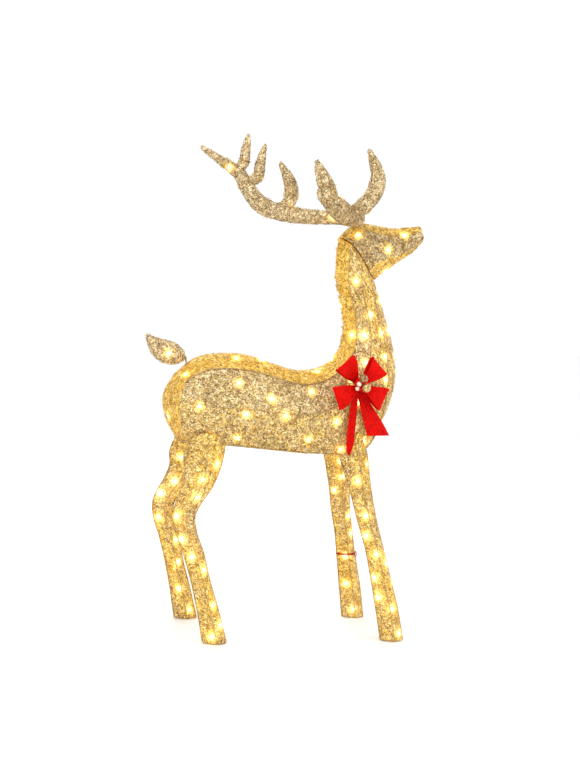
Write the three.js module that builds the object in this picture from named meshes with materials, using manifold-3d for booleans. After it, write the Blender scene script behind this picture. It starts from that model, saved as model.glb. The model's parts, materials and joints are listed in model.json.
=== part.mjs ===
// Light up yard reindeer: a standing wire-frame deer wrapped in glitter mesh, lit from inside.
//
// Millimetres. +X is the way the deer looks, +Y is its left side, +Z is up. The shapes below are drawn
// about the deer's middle plane, and the whole deer is moved at the end so that the origin is on the
// ground under the middle of its box. Every piece of wire, mesh, ribbon and battery box is its own mesh.

import * as THREE from 'three';
import { mergeVertices } from 'three/addons/utils/BufferGeometryUtils.js';
import Module from 'manifold-3d';

const wasm = await Module();
wasm.setup();
const { Manifold } = wasm;

// ---------------------------------------------------------------- driving sizes
const HEIGHT = 300;            // ground to the highest antler tip
const LENGTH = 168;            // tail tip to nose
const BODY_WIDTH = 51;         // across the widest part of the flanks
const FOOT_SPREAD = 62;        // between the middles of a left and a right foot

const FRAME_WIRE = 1.4;        // diameter of the body, head and leg wire
const ANTLER_WIRE = 1.1;       // diameter of the antler and tail wire
const SKIN = 0.5;              // thickness of the glitter mesh
const GAP = 0.35;              // clearance between two pieces that only touch in life
const HEM = 0.55;              // how far a mesh panel stops short of the edge it is sewn to

const SLEEVE_BORE = 2.6;       // inside of the sleeves that take the leg and antler prongs
const SLEEVE_WALL = 0.7;
const SLEEVE_LENGTH = 9;
const PRONG = 1.6;             // diameter of the prongs
const PRONG_LENGTH = 14;

const LED_WIRE = 0.6;          // diameter of the light string's wire
const LED_BULB = 1.8;          // diameter of one resin drop
const ANTLER_BULB = 1.4;
const LED_SPACING = 13;

const CELL_DIAMETER = 10.5;    // two AAA cells lie side by side
const CELL_LENGTH = 44.5;
const CASE_WALL = 1.4;
const SPRING_ROOM = 5;         // past the cells, for the contact springs and plate
const CONTACT = 0.4;           // thickness of the contact plate
const SPRING_WIRE = 0.7;
const SWITCH_ROOM = 7;         // past the springs, for the switch
const DOOR = 1.4;              // thickness of the battery door
const HINGE_PIN = 1.8;
const SWITCH_KNOB = new THREE.Vector3(3, 3.5, 2.4);
const SWITCH_TRAVEL = 2.5;

const RIBBON = 0.6;            // thickness of the bow's ribbon
const RIBBON_WIDTH = 14;
const BOW_REACH = 18;          // knot to the far end of a loop
const RIBBON_TAILS = { left: 42, right: 35 };
const TIE_WIRE = 0.6;
const BEADS = { gold: 5.4, bronze: 5, pale: 3, small: 2.4 };
const THREAD = 0.7;            // the thread tied round a front leg

// The outlines below are drawn on a deer 300 high, 168 long and 51 wide, and are stretched to the
// driving sizes here.
const KX = LENGTH / 168;
const KY = BODY_WIDTH / 51;
const KZ = HEIGHT / 300;
const SPREAD = FOOT_SPREAD / 62;
const at = (x, y, z) => new THREE.Vector3(x * KX, y * KY, z * KZ);

// ---------------------------------------------------------------- materials
const material = (color, roughness, metalness) => () =>
  new THREE.MeshStandardMaterial({ color, roughness, metalness });
const goldWire = material(0xb98a45, 0.35, 0.9);
const goldMesh = material(0xd9b071, 0.6, 0.4);
const copperWire = material(0xd6c08a, 0.4, 0.6);
const redRibbon = material(0xc41220, 0.55, 0.0);
const redKnot = material(0xa80f1b, 0.6, 0.0);
const redThread = material(0xb3121e, 0.8, 0.0);
const goldBead = material(0xe0a93a, 0.25, 0.85);
const bronzeBead = material(0xa8742c, 0.35, 0.8);
const paleBead = material(0xeadfc4, 0.35, 0.1);
const casePlastic = material(0x5a4a2c, 0.55, 0.0);
const knobPlastic = material(0x202020, 0.5, 0.0);
const cellJacket = material(0x3f6f4a, 0.4, 0.3);
const springSteel = material(0xc9ccd0, 0.3, 1.0);

// ---------------------------------------------------------------- solid helpers
function outward(geometry) {
  const p = geometry.attributes.position;
  const index = geometry.index;
  const a = new THREE.Vector3();
  const b = new THREE.Vector3();
  const c = new THREE.Vector3();
  let volume = 0;
  for (let i = 0; i < index.count; i += 3) {
    a.fromBufferAttribute(p, index.getX(i));
    b.fromBufferAttribute(p, index.getX(i + 1));
    c.fromBufferAttribute(p, index.getX(i + 2));
    volume += a.dot(b.cross(c));
  }
  if (volume < 0) {
    for (let i = 0; i < index.count; i += 3) {
      const first = index.getX(i);
      index.setX(i, index.getX(i + 1));
      index.setX(i + 1, first);
    }
  }
  return geometry;
}

// A closed body through rings of equal, even length. Each end is closed by zipping the ring's two halves.
// In a folded ring the second half runs back under the first, and its faces are split the same way.
function loft(rings, folded = false) {
  const n = rings[0].length;
  const index = [];
  for (let r = 0; r + 1 < rings.length; r++) {
    for (let k = 0; k < n; k++) {
      const a = r * n + k;
      const b = r * n + ((k + 1) % n);
      if (folded && k >= n / 2) {
        index.push(a, b, a + n, b, b + n, a + n);
      } else {
        index.push(a, b, b + n, a, b + n, a + n);
      }
    }
  }
  const end = (rings.length - 1) * n;
  for (let k = 0; k < n / 2 - 1; k++) {
    const far = n - 1 - k;
    index.push(k, far - 1, k + 1, k, far, far - 1);
    index.push(end + k, end + k + 1, end + far - 1, end + k, end + far - 1, end + far);
  }
  const geometry = new THREE.BufferGeometry();
  const flat = rings.flat().flatMap((p) => [p.x, p.y, p.z]);
  geometry.setAttribute('position', new THREE.Float32BufferAttribute(flat, 3));
  geometry.setIndex(index);
  return outward(geometry);
}

function solid(geometry) {
  const bare = geometry.clone();
  bare.deleteAttribute('normal');
  bare.deleteAttribute('uv');
  const merged = mergeVertices(bare, 1e-4);
  return new Manifold(new wasm.Mesh({
    numProp: 3,
    vertProperties: new Float32Array(merged.attributes.position.array),
    triVerts: new Uint32Array(merged.index.array),
  }));
}

function geometryOf(manifold) {
  const mesh = manifold.getMesh();
  const geometry = new THREE.BufferGeometry();
  geometry.setAttribute('position', new THREE.Float32BufferAttribute(mesh.vertProperties, 3));
  geometry.setIndex(new THREE.Uint32BufferAttribute(mesh.triVerts, 1));
  geometry.computeVertexNormals();
  return geometry;
}

const join = (solids) => solids.reduce((whole, next) => whole.add(next));

// A wire bent through the points, with mitred bends and an even number of sides. Its diameter is one
// value, or one for each point.
function wire(points, diameter, sides = 4) {
  const run = (k) => points[k + 1].clone().sub(points[k]).normalize();
  const last = points.length - 1;
  const normal = new THREE.Vector3(0.3, 0.5, 0.81);
  const rings = points.map((p, k) => {
    const before = run(Math.max(k - 1, 0));
    const after = run(Math.min(k, last - 1));
    const along = before.clone().add(after).normalize();
    normal.addScaledVector(along, -normal.dot(along)).normalize();
    const across = new THREE.Vector3().crossVectors(along, normal);
    const thickness = diameter[k] ?? diameter;
    return Array.from({ length: sides }, (_, side) => {
      const turn = (2 * Math.PI * (side + 0.5)) / sides;
      return p.clone()
        .addScaledVector(normal, Math.cos(turn) * thickness * 0.5)
        .addScaledVector(across, Math.sin(turn) * thickness * 0.5);
    });
  });
  return solid(loft(rings));
}

function cylinder(diameter, length, centre, sides = 8) {
  const rod = new THREE.CylinderGeometry(diameter / 2, diameter / 2, length, sides);
  return solid(rod.rotateX(Math.PI / 2).translate(centre.x, centre.y, centre.z));
}

function box(size, centre) {
  return solid(new THREE.BoxGeometry(...size).translate(centre.x, centre.y, centre.z));
}

const sleeve = (centre) =>
  cylinder(SLEEVE_BORE + 2 * SLEEVE_WALL, SLEEVE_LENGTH, centre)
    .subtract(cylinder(SLEEVE_BORE, SLEEVE_LENGTH + 1, centre));

const smooth = (points) => new THREE.CatmullRomCurve3(points, false, 'centripetal');

// A light string through the points: a thin wire that swells into a resin drop at every spacing.
function stringPoints(points) {
  const path = smooth(points);
  return path.getSpacedPoints(2 * Math.max(2, Math.round(path.getLength() / LED_SPACING)));
}

function lightString(points, bulb = LED_BULB) {
  const run = [];
  const thickness = [];
  stringPoints(points).forEach((p, k, all) => {
    if (k % 2 === 0) {
      run.push(p);
      thickness.push(LED_WIRE);
      return;
    }
    run.push(toward(p, all[k - 1], bulb * 0.55), p, toward(p, all[k + 1], bulb * 0.55));
    thickness.push(LED_WIRE, bulb, LED_WIRE);
  });
  return wire(run, thickness);
}

const lerp = (a, b, t) => a.clone().lerp(b, t);
const toward = (from, to, distance) => from.clone().add(to.clone().sub(from).setLength(distance));
const mirrored = (p) => new THREE.Vector3(p.x, -p.y, p.z);

// ---------------------------------------------------------------- body and neck sections
// Each station is one rib, from the rump to the top of the neck: the ridge of the back, the upper
// edge, the middle, the flank and the lower edge of the side, and the keel. [x, half width, z]
const BODY_RIBS = [
  { ridge: [-68, 0, 151], up: [-66, 15, 148], mid: [-70, 19, 137], flank: [-68, 17.5, 124], low: [-62.5, 14, 113], keel: [-62.5, 0, 112] },
  { ridge: [-56, 0, 161], up: [-54, 16.5, 155], mid: [-53, 24, 135], flank: [-50, 22, 123], low: [-46, 16.5, 113], keel: [-46, 0, 112] },
  { ridge: [-31, 0, 164.5], up: [-31, 17.5, 156], mid: [-28, 25.5, 134], flank: [-26, 23.5, 121], low: [-23, 17, 111.5], keel: [-23, 0, 110.5] },
  { ridge: [7, 0, 156.5], up: [8, 16.5, 149.5], mid: [10, 24.5, 133], flank: [12, 22.5, 119], low: [14, 17, 109.3], keel: [14, 0, 108] },
  { ridge: [24, 0, 160.5], up: [26, 14, 156], mid: [34, 20, 143], flank: [40, 18.5, 126], low: [46.5, 15, 111.8], keel: [49, 0, 110.8] },
  { ridge: [33, 0, 171], up: [37, 11.5, 169], mid: [45, 15.5, 159], flank: [52, 14.5, 144], low: [57.5, 12.3, 128], keel: [62.5, 0, 128] },
  { ridge: [34.5, 0, 186], up: [39.2, 9, 185], mid: [48, 12.5, 176], flank: [56, 11.5, 164], low: [61.7, 10, 152], keel: [70, 0, 152] },
  { ridge: [31.5, 0, 200], up: [36, 8, 199], mid: [45, 11, 193], flank: [53, 10, 183], low: [59, 8.7, 174], keel: [67, 0, 174] },
  { ridge: [27.5, 0, 214], up: [32.5, 7.6, 213], mid: [41, 9.8, 208], flank: [47, 9, 202], low: [52.5, 8, 194], keel: [59.5, 0, 194] },
  { ridge: [27.1, 0, 237.1], up: [32.4, 7.3, 233.8], mid: [38.2, 9.3, 226.9], flank: [42, 8.6, 222.1], low: [45.6, 7.3, 217.3], keel: [51.4, 0, 213.4] },
];
// The head runs forward from the top of the neck to the nose.
const HEAD_RIBS = [
  { ridge: [27.6, 0, 238], up: [32.9, 7.3, 234.6], mid: [38.8, 9.4, 227.6], flank: [42.6, 8.7, 222.8], low: [46.2, 7.4, 218], keel: [52, 0, 214] },
  { ridge: [38, 0, 246.5], up: [39.5, 8, 241.5], mid: [43.5, 11, 233], flank: [47, 10.2, 227.5], low: [50.5, 8, 222.5], keel: [56, 0, 217.5] },
  { ridge: [50, 0, 246.3], up: [50, 8, 241], mid: [52.5, 10.5, 234], flank: [55, 9.8, 230], low: [57.5, 7.5, 226], keel: [62, 0, 222] },
  { ridge: [62, 0, 245.6], up: [62, 6.5, 240.5], mid: [63.5, 8.8, 235.5], flank: [65, 8, 232.5], low: [66.5, 6.3, 230], keel: [69, 0, 227.5] },
  { ridge: [72.5, 0, 247.2], up: [72.5, 5.2, 242.6], mid: [73.3, 7, 239], flank: [74, 6.5, 236.5], low: [74.5, 5, 234.2], keel: [75.5, 0, 232] },
  { ridge: [79, 0, 248], up: [79.2, 3.6, 245], mid: [79.8, 4.8, 242], flank: [79.8, 4.4, 240], low: [79.5, 3.4, 238], keel: [79, 0, 236.2] },
];
const EDGES = ['ridge', 'up', 'mid', 'flank', 'low', 'keel'];

class Barrel {
  constructor(ribs) {
    this.last = ribs.length - 1;
    this.curves = EDGES.map((edge) =>
      new THREE.CatmullRomCurve3(ribs.map((rib) => at(...rib[edge])), false, 'centripetal'));
  }

  // Point on an edge: station runs from 0 to the last rib, edge from 0 at the ridge to 5 at the keel.
  // A negative edge is the same place on the deer's right side.
  point(station, edge, inset = 0) {
    const t = THREE.MathUtils.clamp(station / this.last, 0, 1);
    const e = Math.min(Math.abs(edge), 5);
    const k = Math.min(Math.floor(e), 4);
    const p = lerp(this.curves[k].getPoint(t), this.curves[k + 1].getPoint(t), e - k);
    const middle = this.middle(station);
    const placed = inset ? toward(p, middle, inset) : p;
    return edge < 0 ? mirrored(placed) : placed;
  }

  middle(station) {
    const p = this.curves[2].getPoint(THREE.MathUtils.clamp(station / this.last, 0, 1));
    return new THREE.Vector3(p.x, 0, p.z);
  }

  // The whole closed section at a station, counted round from the ridge down the left side.
  ring(station, inset = 0) {
    return [0, 1, 2, 3, 4, 5, -4, -3, -2, -1].map((edge) => this.point(station, edge, inset));
  }
}

const body = new Barrel(BODY_RIBS);
const head = new Barrel(HEAD_RIBS);
const NECK_TOP = body.last;
const NOSE = head.last;
const FRAME_INSET = (SKIN + GAP + FRAME_WIRE / 2) * 1.85;

const stations = (from, to, count) =>
  Array.from({ length: count }, (_, k) => from + ((to - from) * k) / (count - 1));

const deer = new THREE.Group();
function piece(name, geometry, finish, parent = deer) {
  const mesh = new THREE.Mesh(geometry, finish());
  mesh.name = name;
  parent.add(mesh);
  return mesh;
}

// ---------------------------------------------------------------- places other pieces share
const SIDES = { left: 1, right: -1 };
// The top of each leg, and the line its prong stands on.
const HIPS = {
  hind: { x: -54, y: 14.5, z: 111.2 },
  front: { x: 42, y: 12.4, z: 108.2 },
};
const SLEEVE_RISE = 6.5;       // from the top of a leg to its sleeve
const ANTLER_SEAT = at(37.5, 4.2, 244.4);
const ANTLER_SINK = 5 * KZ;    // from the top of the head to an antler's sleeve
const TAIL_BAR = at(-60, 0, 151.5);
const TAIL_SLOT = 8;           // length of the slot in the back mesh that the tail's hook moves in

const CASE = new THREE.Vector3(
  CELL_LENGTH + 2 * CASE_WALL + SPRING_ROOM + SWITCH_ROOM,
  2 * CELL_DIAMETER + 3 * GAP + 2 * CASE_WALL,
  CELL_DIAMETER + 2 * GAP + CASE_WALL + DOOR,
);
// The battery case lies on the belly mesh and slopes with it; its underside is flush with the mesh.
const CASE_FOOT = at(-17.5, 0, 110);
const BELLY_SLOPE = Math.atan2(BODY_RIBS[1].keel[2] - BODY_RIBS[3].keel[2],
  BODY_RIBS[3].keel[0] - BODY_RIBS[1].keel[0]) * (KZ / KX);
const battery = new THREE.Group();
battery.position.copy(CASE_FOOT);
battery.rotation.y = BELLY_SLOPE;
battery.updateMatrix();

// The bow sits in its own turned group on the deer's right shoulder: local x runs forward, y up, z out.
const bowPlace = new THREE.Group();
bowPlace.position.copy(at(36, -21.6, 151));
bowPlace.rotation.z = 0.2;
const bow = new THREE.Group();
bow.rotation.x = Math.PI / 2;
bowPlace.add(bow);
deer.add(bowPlace);
bowPlace.updateMatrixWorld(true);
const TIE_SIDES = [12, 168].map(THREE.MathUtils.degToRad);   // where the tie wire's two legs pass
const TIE_REACH = 3.1;         // from the bow's middle to each leg

// ---------------------------------------------------------------- body frame
const inside = (barrel, station, edge) => barrel.point(station, edge, FRAME_INSET);

function ribWires(barrel, station) {
  const half = [0, 1, 2, 3, 4, 5].map((edge) => inside(barrel, station, edge));
  return [half, half.map(mirrored)].map((points) => wire(points, FRAME_WIRE));
}

const lengthwise = (barrel, from, to, edges, count) => edges.map((edge) =>
  wire(stations(from, to, count).map((s) => inside(barrel, s, edge)), FRAME_WIRE));

{
  const first = 0.15;
  const chest = 3.7;
  const RIDGE_START = 0.8;
  const last = NECK_TOP - 0.12;
  const parts = [
    ...lengthwise(body, first - 0.05, last + 0.05, [1, -1, 2, -2, 4, -4], 14),
    ...lengthwise(body, RIDGE_START, last + 0.05, [0], 12),
    ...lengthwise(body, chest - 0.05, last + 0.05, [5], 9),
    ...[first, chest, last].flatMap((station) => ribWires(body, station)),
  ];
  // Two straps of wire hold the battery case down.
  for (const offset of [-0.32, 0.3]) {
    const x = CASE_FOOT.x + offset * CASE.x;
    const foot = inside(body, 2.2 + 1.9 * offset, 4);
    const top = CASE_FOOT.z - (x - CASE_FOOT.x) * Math.tan(BELLY_SLOPE) + CASE.z / Math.cos(BELLY_SLOPE);
    const corner = new THREE.Vector3(x, CASE.y / 2 + GAP + FRAME_WIRE, top + GAP + FRAME_WIRE);
    const end = new THREE.Vector3(x, foot.y, foot.z);
    parts.push(wire([end, corner, mirrored(corner), mirrored(end)], FRAME_WIRE));
  }
  // The bar at the top of the rump that the tail hooks over.
  const barEnd = inside(body, 0.3, 1);
  const bar = TAIL_BAR.clone().setY(3);
  parts.push(wire([barEnd, bar, mirrored(bar), mirrored(barEnd)], ANTLER_WIRE));
  parts.push(wire([bar, inside(body, RIDGE_START, 0), mirrored(bar)], ANTLER_WIRE));
  // Sleeves for the legs stand on the lower edge wires, and a cross wire joins each pair.
  const bores = [];
  for (const hip of Object.values(HIPS)) {
    const centre = at(hip.x, hip.y, hip.z);
    centre.z += SLEEVE_RISE + SLEEVE_LENGTH / 2;
    const wall = (SLEEVE_BORE + SLEEVE_WALL) / 2;
    const inner = centre.clone().setY(centre.y - wall);
    const outer = centre.clone().setY(centre.y + wall);
    parts.push(wire([inner, mirrored(inner)], FRAME_WIRE));
    const edge = inside(body, hip === HIPS.hind ? 0.75 : 4.15, 4);
    parts.push(wire([outer, edge], FRAME_WIRE), wire([mirrored(outer), mirrored(edge)], FRAME_WIRE));
    for (const place of [centre, mirrored(centre)]) {
      parts.push(sleeve(place));
      bores.push(cylinder(SLEEVE_BORE, SLEEVE_LENGTH + 8, place));
    }
  }
  piece('body_frame', geometryOf(join(parts).subtract(join(bores))), goldWire);
}

// ---------------------------------------------------------------- head frame
{
  const first = 0.12;
  const last = NOSE - 0.5;
  const parts = [
    ...lengthwise(head, first - 0.05, last + 0.05, [0, 1, -1, 2, -2, 4, -4, 5], 7),
    ...[first, last].flatMap((station) => ribWires(head, station)),
  ];
  const seats = Object.values(SIDES).map((side) => {
    const centre = ANTLER_SEAT.clone();
    centre.y *= side;
    centre.z -= ANTLER_SINK + SLEEVE_LENGTH / 2;
    return centre;
  });
  parts.push(...seats.map(sleeve));
  const offset = (SLEEVE_BORE + SLEEVE_WALL) / 2;
  const inner = seats[0].clone().setY(seats[0].y - offset);
  const outer = seats[0].clone().setY(seats[0].y + offset);
  const edge = inside(head, 0.9, 1.5);
  parts.push(wire([inner, mirrored(inner)], FRAME_WIRE));
  parts.push(wire([outer, edge], FRAME_WIRE), wire([mirrored(outer), mirrored(edge)], FRAME_WIRE));
  const bores = seats.map((centre) => cylinder(SLEEVE_BORE, SLEEVE_LENGTH + 8, centre));
  piece('head_frame', geometryOf(join(parts).subtract(join(bores))), goldWire);
}

// ---------------------------------------------------------------- mesh on the body and neck
// A strip of mesh through rows of outer points; its inner side lies one thickness towards the middle.
function strip(rows, middles) {
  return loft(rows.map((row, r) => {
    const inner = row.map((p) => toward(p, middles[r], SKIN * 1.25)).reverse();
    return [...row, ...inner];
  }), true);
}

// Points of one row, with both ends pulled in by the hem.
function hemmed(row) {
  const points = [...row];
  points[0] = toward(row[0], row[1], HEM);
  points[row.length - 1] = toward(row.at(-1), row.at(-2), HEM);
  return points;
}

const SKIN_STATIONS = stations(0, NECK_TOP, 17);
const middles = SKIN_STATIONS.map((s) => body.middle(s));

for (const [side, sign] of Object.entries(SIDES)) {
  const rows = SKIN_STATIONS.map((s) => hemmed([1, 2, 3, 4].map((edge) => body.point(s, sign * edge))));
  rows[0] = rows[0].map((p) => p.clone().setX(p.x + HEM));
  let skin = solid(strip(rows, middles));
  if (side === 'right') {
    for (const turn of TIE_SIDES) {
      const hole = new THREE.BoxGeometry(TIE_WIRE + 3 * GAP, TIE_WIRE + 3 * GAP, 20);
      hole.translate(TIE_REACH * Math.cos(turn), TIE_REACH * Math.sin(turn), 0);
      skin = skin.subtract(solid(hole.applyMatrix4(bow.matrixWorld)));
    }
  }
  piece(`skin_side_${side}`, geometryOf(skin), goldMesh);
}

// The back strip starts at the foot of the rump, turns over the croup and runs up to the poll.
const RUMP_ROWS = [
  { edge: [-62.5, 14, 113.6], ridge: [-63.6, 0, 113] },
  { edge: [-68, 17.5, 124], ridge: [-70.2, 0, 123.5] },
  { edge: [-70, 19, 137], ridge: [-72.6, 0, 137.5] },
];
{
  const rump = RUMP_ROWS.map(({ edge, ridge }) =>
    hemmed([at(...edge), at(...ridge), mirrored(at(...edge))]));
  const back = SKIN_STATIONS.map((s) => hemmed([body.point(s, 1), body.point(s, 0), body.point(s, -1)]));
  const rumpMiddle = at(-50, 0, 133);
  const skin = solid(strip([...rump, ...back], [...rump.map(() => rumpMiddle), ...middles]));
  const slot = box([TAIL_SLOT, ANTLER_WIRE + 3 * GAP, 16], TAIL_BAR.clone().add(new THREE.Vector3(-1.5, 0, 6)));
  piece('skin_back', geometryOf(skin.subtract(slot)), goldMesh);
}

// The belly strip has holes for the leg prongs and a window for the battery door.
{
  const rows = SKIN_STATIONS.map((s) => hemmed([body.point(s, 4), body.point(s, 5), body.point(s, -4)]));
  rows[0] = rows[0].map((p) => p.clone().setX(p.x + HEM));
  let skin = solid(strip(rows, middles));
  for (const hip of Object.values(HIPS)) {
    for (const side of Object.values(SIDES)) {
      skin = skin.subtract(cylinder(PRONG + 2 * GAP + 1, 12, at(hip.x, side * hip.y, hip.z)));
    }
  }
  const window = new THREE.BoxGeometry(CASE.x + 2 * GAP, CASE.y + 2 * GAP, 12);
  skin = skin.subtract(solid(window.applyMatrix4(battery.matrix)));
  piece('skin_belly', geometryOf(skin), goldMesh);
}

// ---------------------------------------------------------------- mesh on the head
{
  const outer = stations(0, NOSE, 9).map((s) => head.ring(s));
  const inner = stations(0, NOSE, 9).map((s) => head.ring(s, SKIN * 1.25));
  const back = head.middle(0).sub(head.middle(0.3)).setLength(1);
  inner[0] = inner[0].map((p) => p.clone().add(back));
  inner[8] = head.ring(NOSE - 0.1, SKIN * 1.6);
  let skin = solid(loft(outer)).subtract(solid(loft(inner)));
  for (const side of Object.values(SIDES)) {
    const centre = ANTLER_SEAT.clone();
    centre.y *= side;
    skin = skin.subtract(cylinder(PRONG + 2 * GAP + 1, 12, centre));
  }
  piece('skin_head', geometryOf(skin), goldMesh);
}

// ---------------------------------------------------------------- legs
// Sections of a leg from the body down: [z, rear x, front x, middle y, half thickness].
const LEG_SECTIONS = {
  hind: [
    [111.2, -62.2, -39.5, 14, 6.8], [104, -64.5, -41, 15.4, 6.8], [96, -63.5, -43.5, 17.2, 6.4],
    [87, -65.8, -48, 19.4, 5.9], [80, -68.8, -53.5, 21.4, 5.4], [72, -70.8, -57.8, 23.4, 5],
    [64, -69.4, -57.2, 24.8, 4.8], [51, -64.3, -52.4, 26.8, 4.8], [37, -59.6, -48.6, 28.4, 4.9],
    [20, -55, -42.8, 29.8, 5], [0, -50.5, -36.5, 31, 5.2],
  ],
  front: [
    [108.2, 32, 49.5, 12.8, 6], [100, 35, 51, 14.6, 5.8], [85, 39.8, 53, 18, 5.2],
    [70, 43.8, 55.8, 21.4, 4.8], [55, 48.5, 59.8, 24.4, 4.7], [38, 52.3, 64.5, 27, 4.8],
    [19, 56.2, 70, 29.3, 4.9], [0, 60, 74.3, 31, 5.1],
  ],
};
const HOCK = { hind: 5, front: 3 };
// The lights run between a leg's wires, so the legs grow thicker with the wire.
const LEG_ROOM = 1.5 * (FRAME_WIRE - 1.4);

// The four corners of a section: front, outside, rear, inside. A positive inset moves them inwards.
function legCorners([z, rear, front, y, half], inset = 0) {
  const middle = (rear + front) / 2;
  const spread = y + (y - 17) * (SPREAD - 1) * (31 / 14);
  const thick = half + LEG_ROOM;
  const corners = [[front, spread], [middle, spread + thick], [rear, spread], [middle, spread - thick]];
  const centre = new THREE.Vector3(middle * KX, spread, z * KZ);
  return corners.map(([x, across]) => {
    const p = new THREE.Vector3(x * KX, across, z * KZ);
    return inset ? toward(p, centre, inset) : p;
  });
}
const levelled = (ring, z) => ring.map((p) => p.clone().setZ(z));
const sided = (points, side) => (side > 0 ? points : points.map(mirrored));

function legSkin(sections, side) {
  const wall = SKIN * 1.4;
  const outer = sections.map((section) => legCorners(section));
  const inner = sections.map((section) => legCorners(section, wall));
  inner[0] = levelled(inner[0], sections[0][0] * KZ + 1);
  inner[inner.length - 1] = levelled(inner.at(-1), SKIN);
  const rings = (list) => list.map((ring) => sided(ring, side));
  return solid(loft(rings(outer))).subtract(solid(loft(rings(inner))));
}

function legFrame(pair, side) {
  const sections = LEG_SECTIONS[pair];
  const inset = (SKIN + GAP + FRAME_WIRE / 2) * 1.9;
  const rings = sections.map((section) => sided(legCorners(section, inset), side));
  const top = rings[0][0].z - FRAME_WIRE / 2;
  rings[0] = levelled(rings[0], top);
  rings[rings.length - 1] = levelled(rings.at(-1), SKIN + GAP + FRAME_WIRE / 2);
  const parts = [0, 1, 2, 3].map((corner) => wire(rings.map((ring) => ring[corner]), FRAME_WIRE));
  for (const ring of [rings[0], rings.at(-1)]) {
    parts.push(wire(ring, FRAME_WIRE), wire([ring[3], ring[0]], FRAME_WIRE));
  }
  parts.push(wire(rings[HOCK[pair]].slice(0, 3), FRAME_WIRE));
  // The prong stands on a cross wire at the top of the leg.
  const hip = HIPS[pair];
  const root = at(hip.x, side * hip.y, hip.z).setZ(top);
  parts.push(wire([rings[0][1], root, rings[0][3]], FRAME_WIRE));
  parts.push(wire([root, root.clone().setZ(top + PRONG_LENGTH)], PRONG, 8));
  return join(parts);
}

function legLights(pair, side) {
  const sections = LEG_SECTIONS[pair].slice(1, -1);
  const points = sections.map(([z, rear, front, y], k) => {
    const corners = legCorners([z, rear, front, y, 0]);
    return new THREE.Vector3((corners[0].x + corners[2].x) / 2, corners[0].y, z * KZ);
  });
  return lightString(sided(points, side));
}

for (const pair of Object.keys(HIPS)) {
  for (const [side, sign] of Object.entries(SIDES)) {
    piece(`leg_frame_${pair}_${side}`, geometryOf(legFrame(pair, sign)), goldWire);
    piece(`skin_leg_${pair}_${side}`, geometryOf(legSkin(LEG_SECTIONS[pair], sign)), goldMesh);
    piece(`lights_leg_${pair}_${side}`, geometryOf(legLights(pair, sign)), copperWire);
  }
}

// ---------------------------------------------------------------- antlers
// Each antler is a beam and its tines. A tine leaves the beam at a share of its length. Each branch has
// three radii: at its root, half way and at its tip. The two antlers are bent by hand: the left one lies
// back, the right one reaches out to the side.
const ANTLER_ROOT = [[36.5, 5.6, 248.6], [33, 9, 249.8]];
const ANTLERS = {
  left: [
    { points: [...ANTLER_ROOT, [15, 20, 249.5], [1, 32, 251], [-9, 41, 255], [-15, 48, 263],
      [-21, 54, 274], [-31.5, 61.5, 282], [-43, 69, 290]], radii: [3.8, 5.1, 1.1], steps: 12 },
    { root: 0.42, points: [[7.5, 37, 259], [8.5, 40, 269], [1.5, 43, 283]], radii: [3.3, 4.2, 0.9], steps: 6 },
    { root: 0.67, points: [[-11, 48, 272], [-9.5, 48, 281], [-7, 49, 293.5]], radii: [3, 3.2, 0.8], steps: 4 },
    { root: 0.75, points: [[-18.5, 54, 281], [-17.5, 55, 289], [-16, 55, 299.4]], radii: [3, 3, 0.8], steps: 4 },
  ],
  right: [
    { points: [...ANTLER_ROOT, [25, 18, 249.5], [15, 29, 252], [6, 38, 256], [-3, 46, 261]],
      radii: [4.6, 6, 3.8], steps: 8 },
    { root: 0.36, points: [[29, 30, 255], [34, 34, 264], [34, 37, 273], [25.5, 41, 287]],
      radii: [4, 4.7, 1], steps: 8 },
    { root: 0.7, points: [[3, 40, 262], [-2.5, 44, 268.5], [-8, 47, 277.5]], radii: [3.6, 4.4, 0.9], steps: 5 },
  ],
};

function antlerPaths(side) {
  const sign = SIDES[side];
  const drawn = ANTLERS[side].map(({ points }) => points.map(([x, y, z]) => at(x, sign * y, z)));
  const beam = smooth(drawn[0]);
  return ANTLERS[side].map(({ root }, k) => (k === 0 ? beam : smooth([beam.getPointAt(root), ...drawn[k]])));
}

function radiusAt([root, middle, tip], t) {
  return t < 0.5 ? root + (middle - root) * 2 * t : middle + (tip - middle) * (2 * t - 1);
}

// Rings of a tapering round branch, each radius made smaller by the inset.
function branchRings(path, { radii, steps }, inset, sides = 6) {
  const frames = path.computeFrenetFrames(steps);
  return stations(0, 1, steps + 1).map((t, k) => {
    const radius = radiusAt(radii, t) - inset;
    const centre = path.getPointAt(t);
    return Array.from({ length: sides }, (_, side) => {
      const turn = (2 * Math.PI * side) / sides;
      return centre.clone()
        .addScaledVector(frames.normals[k], Math.cos(turn) * radius)
        .addScaledVector(frames.binormals[k], Math.sin(turn) * radius);
    });
  });
}

// A point inside a branch, moved forward or back by a share of its radius, so that the wire and the
// lights keep to their own sides.
function insideBranch(path, { radii }, t, shift) {
  const along = path.getTangentAt(t);
  const ahead = new THREE.Vector3(1, 0, 0.15);
  ahead.addScaledVector(along, -ahead.dot(along)).normalize();
  return path.getPointAt(t).addScaledVector(ahead, shift * radiusAt(radii, t));
}
const alongBranch = (path, branch, from, to, count, shift) =>
  stations(from, to, count).map((t) => insideBranch(path, branch, t, shift));

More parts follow.
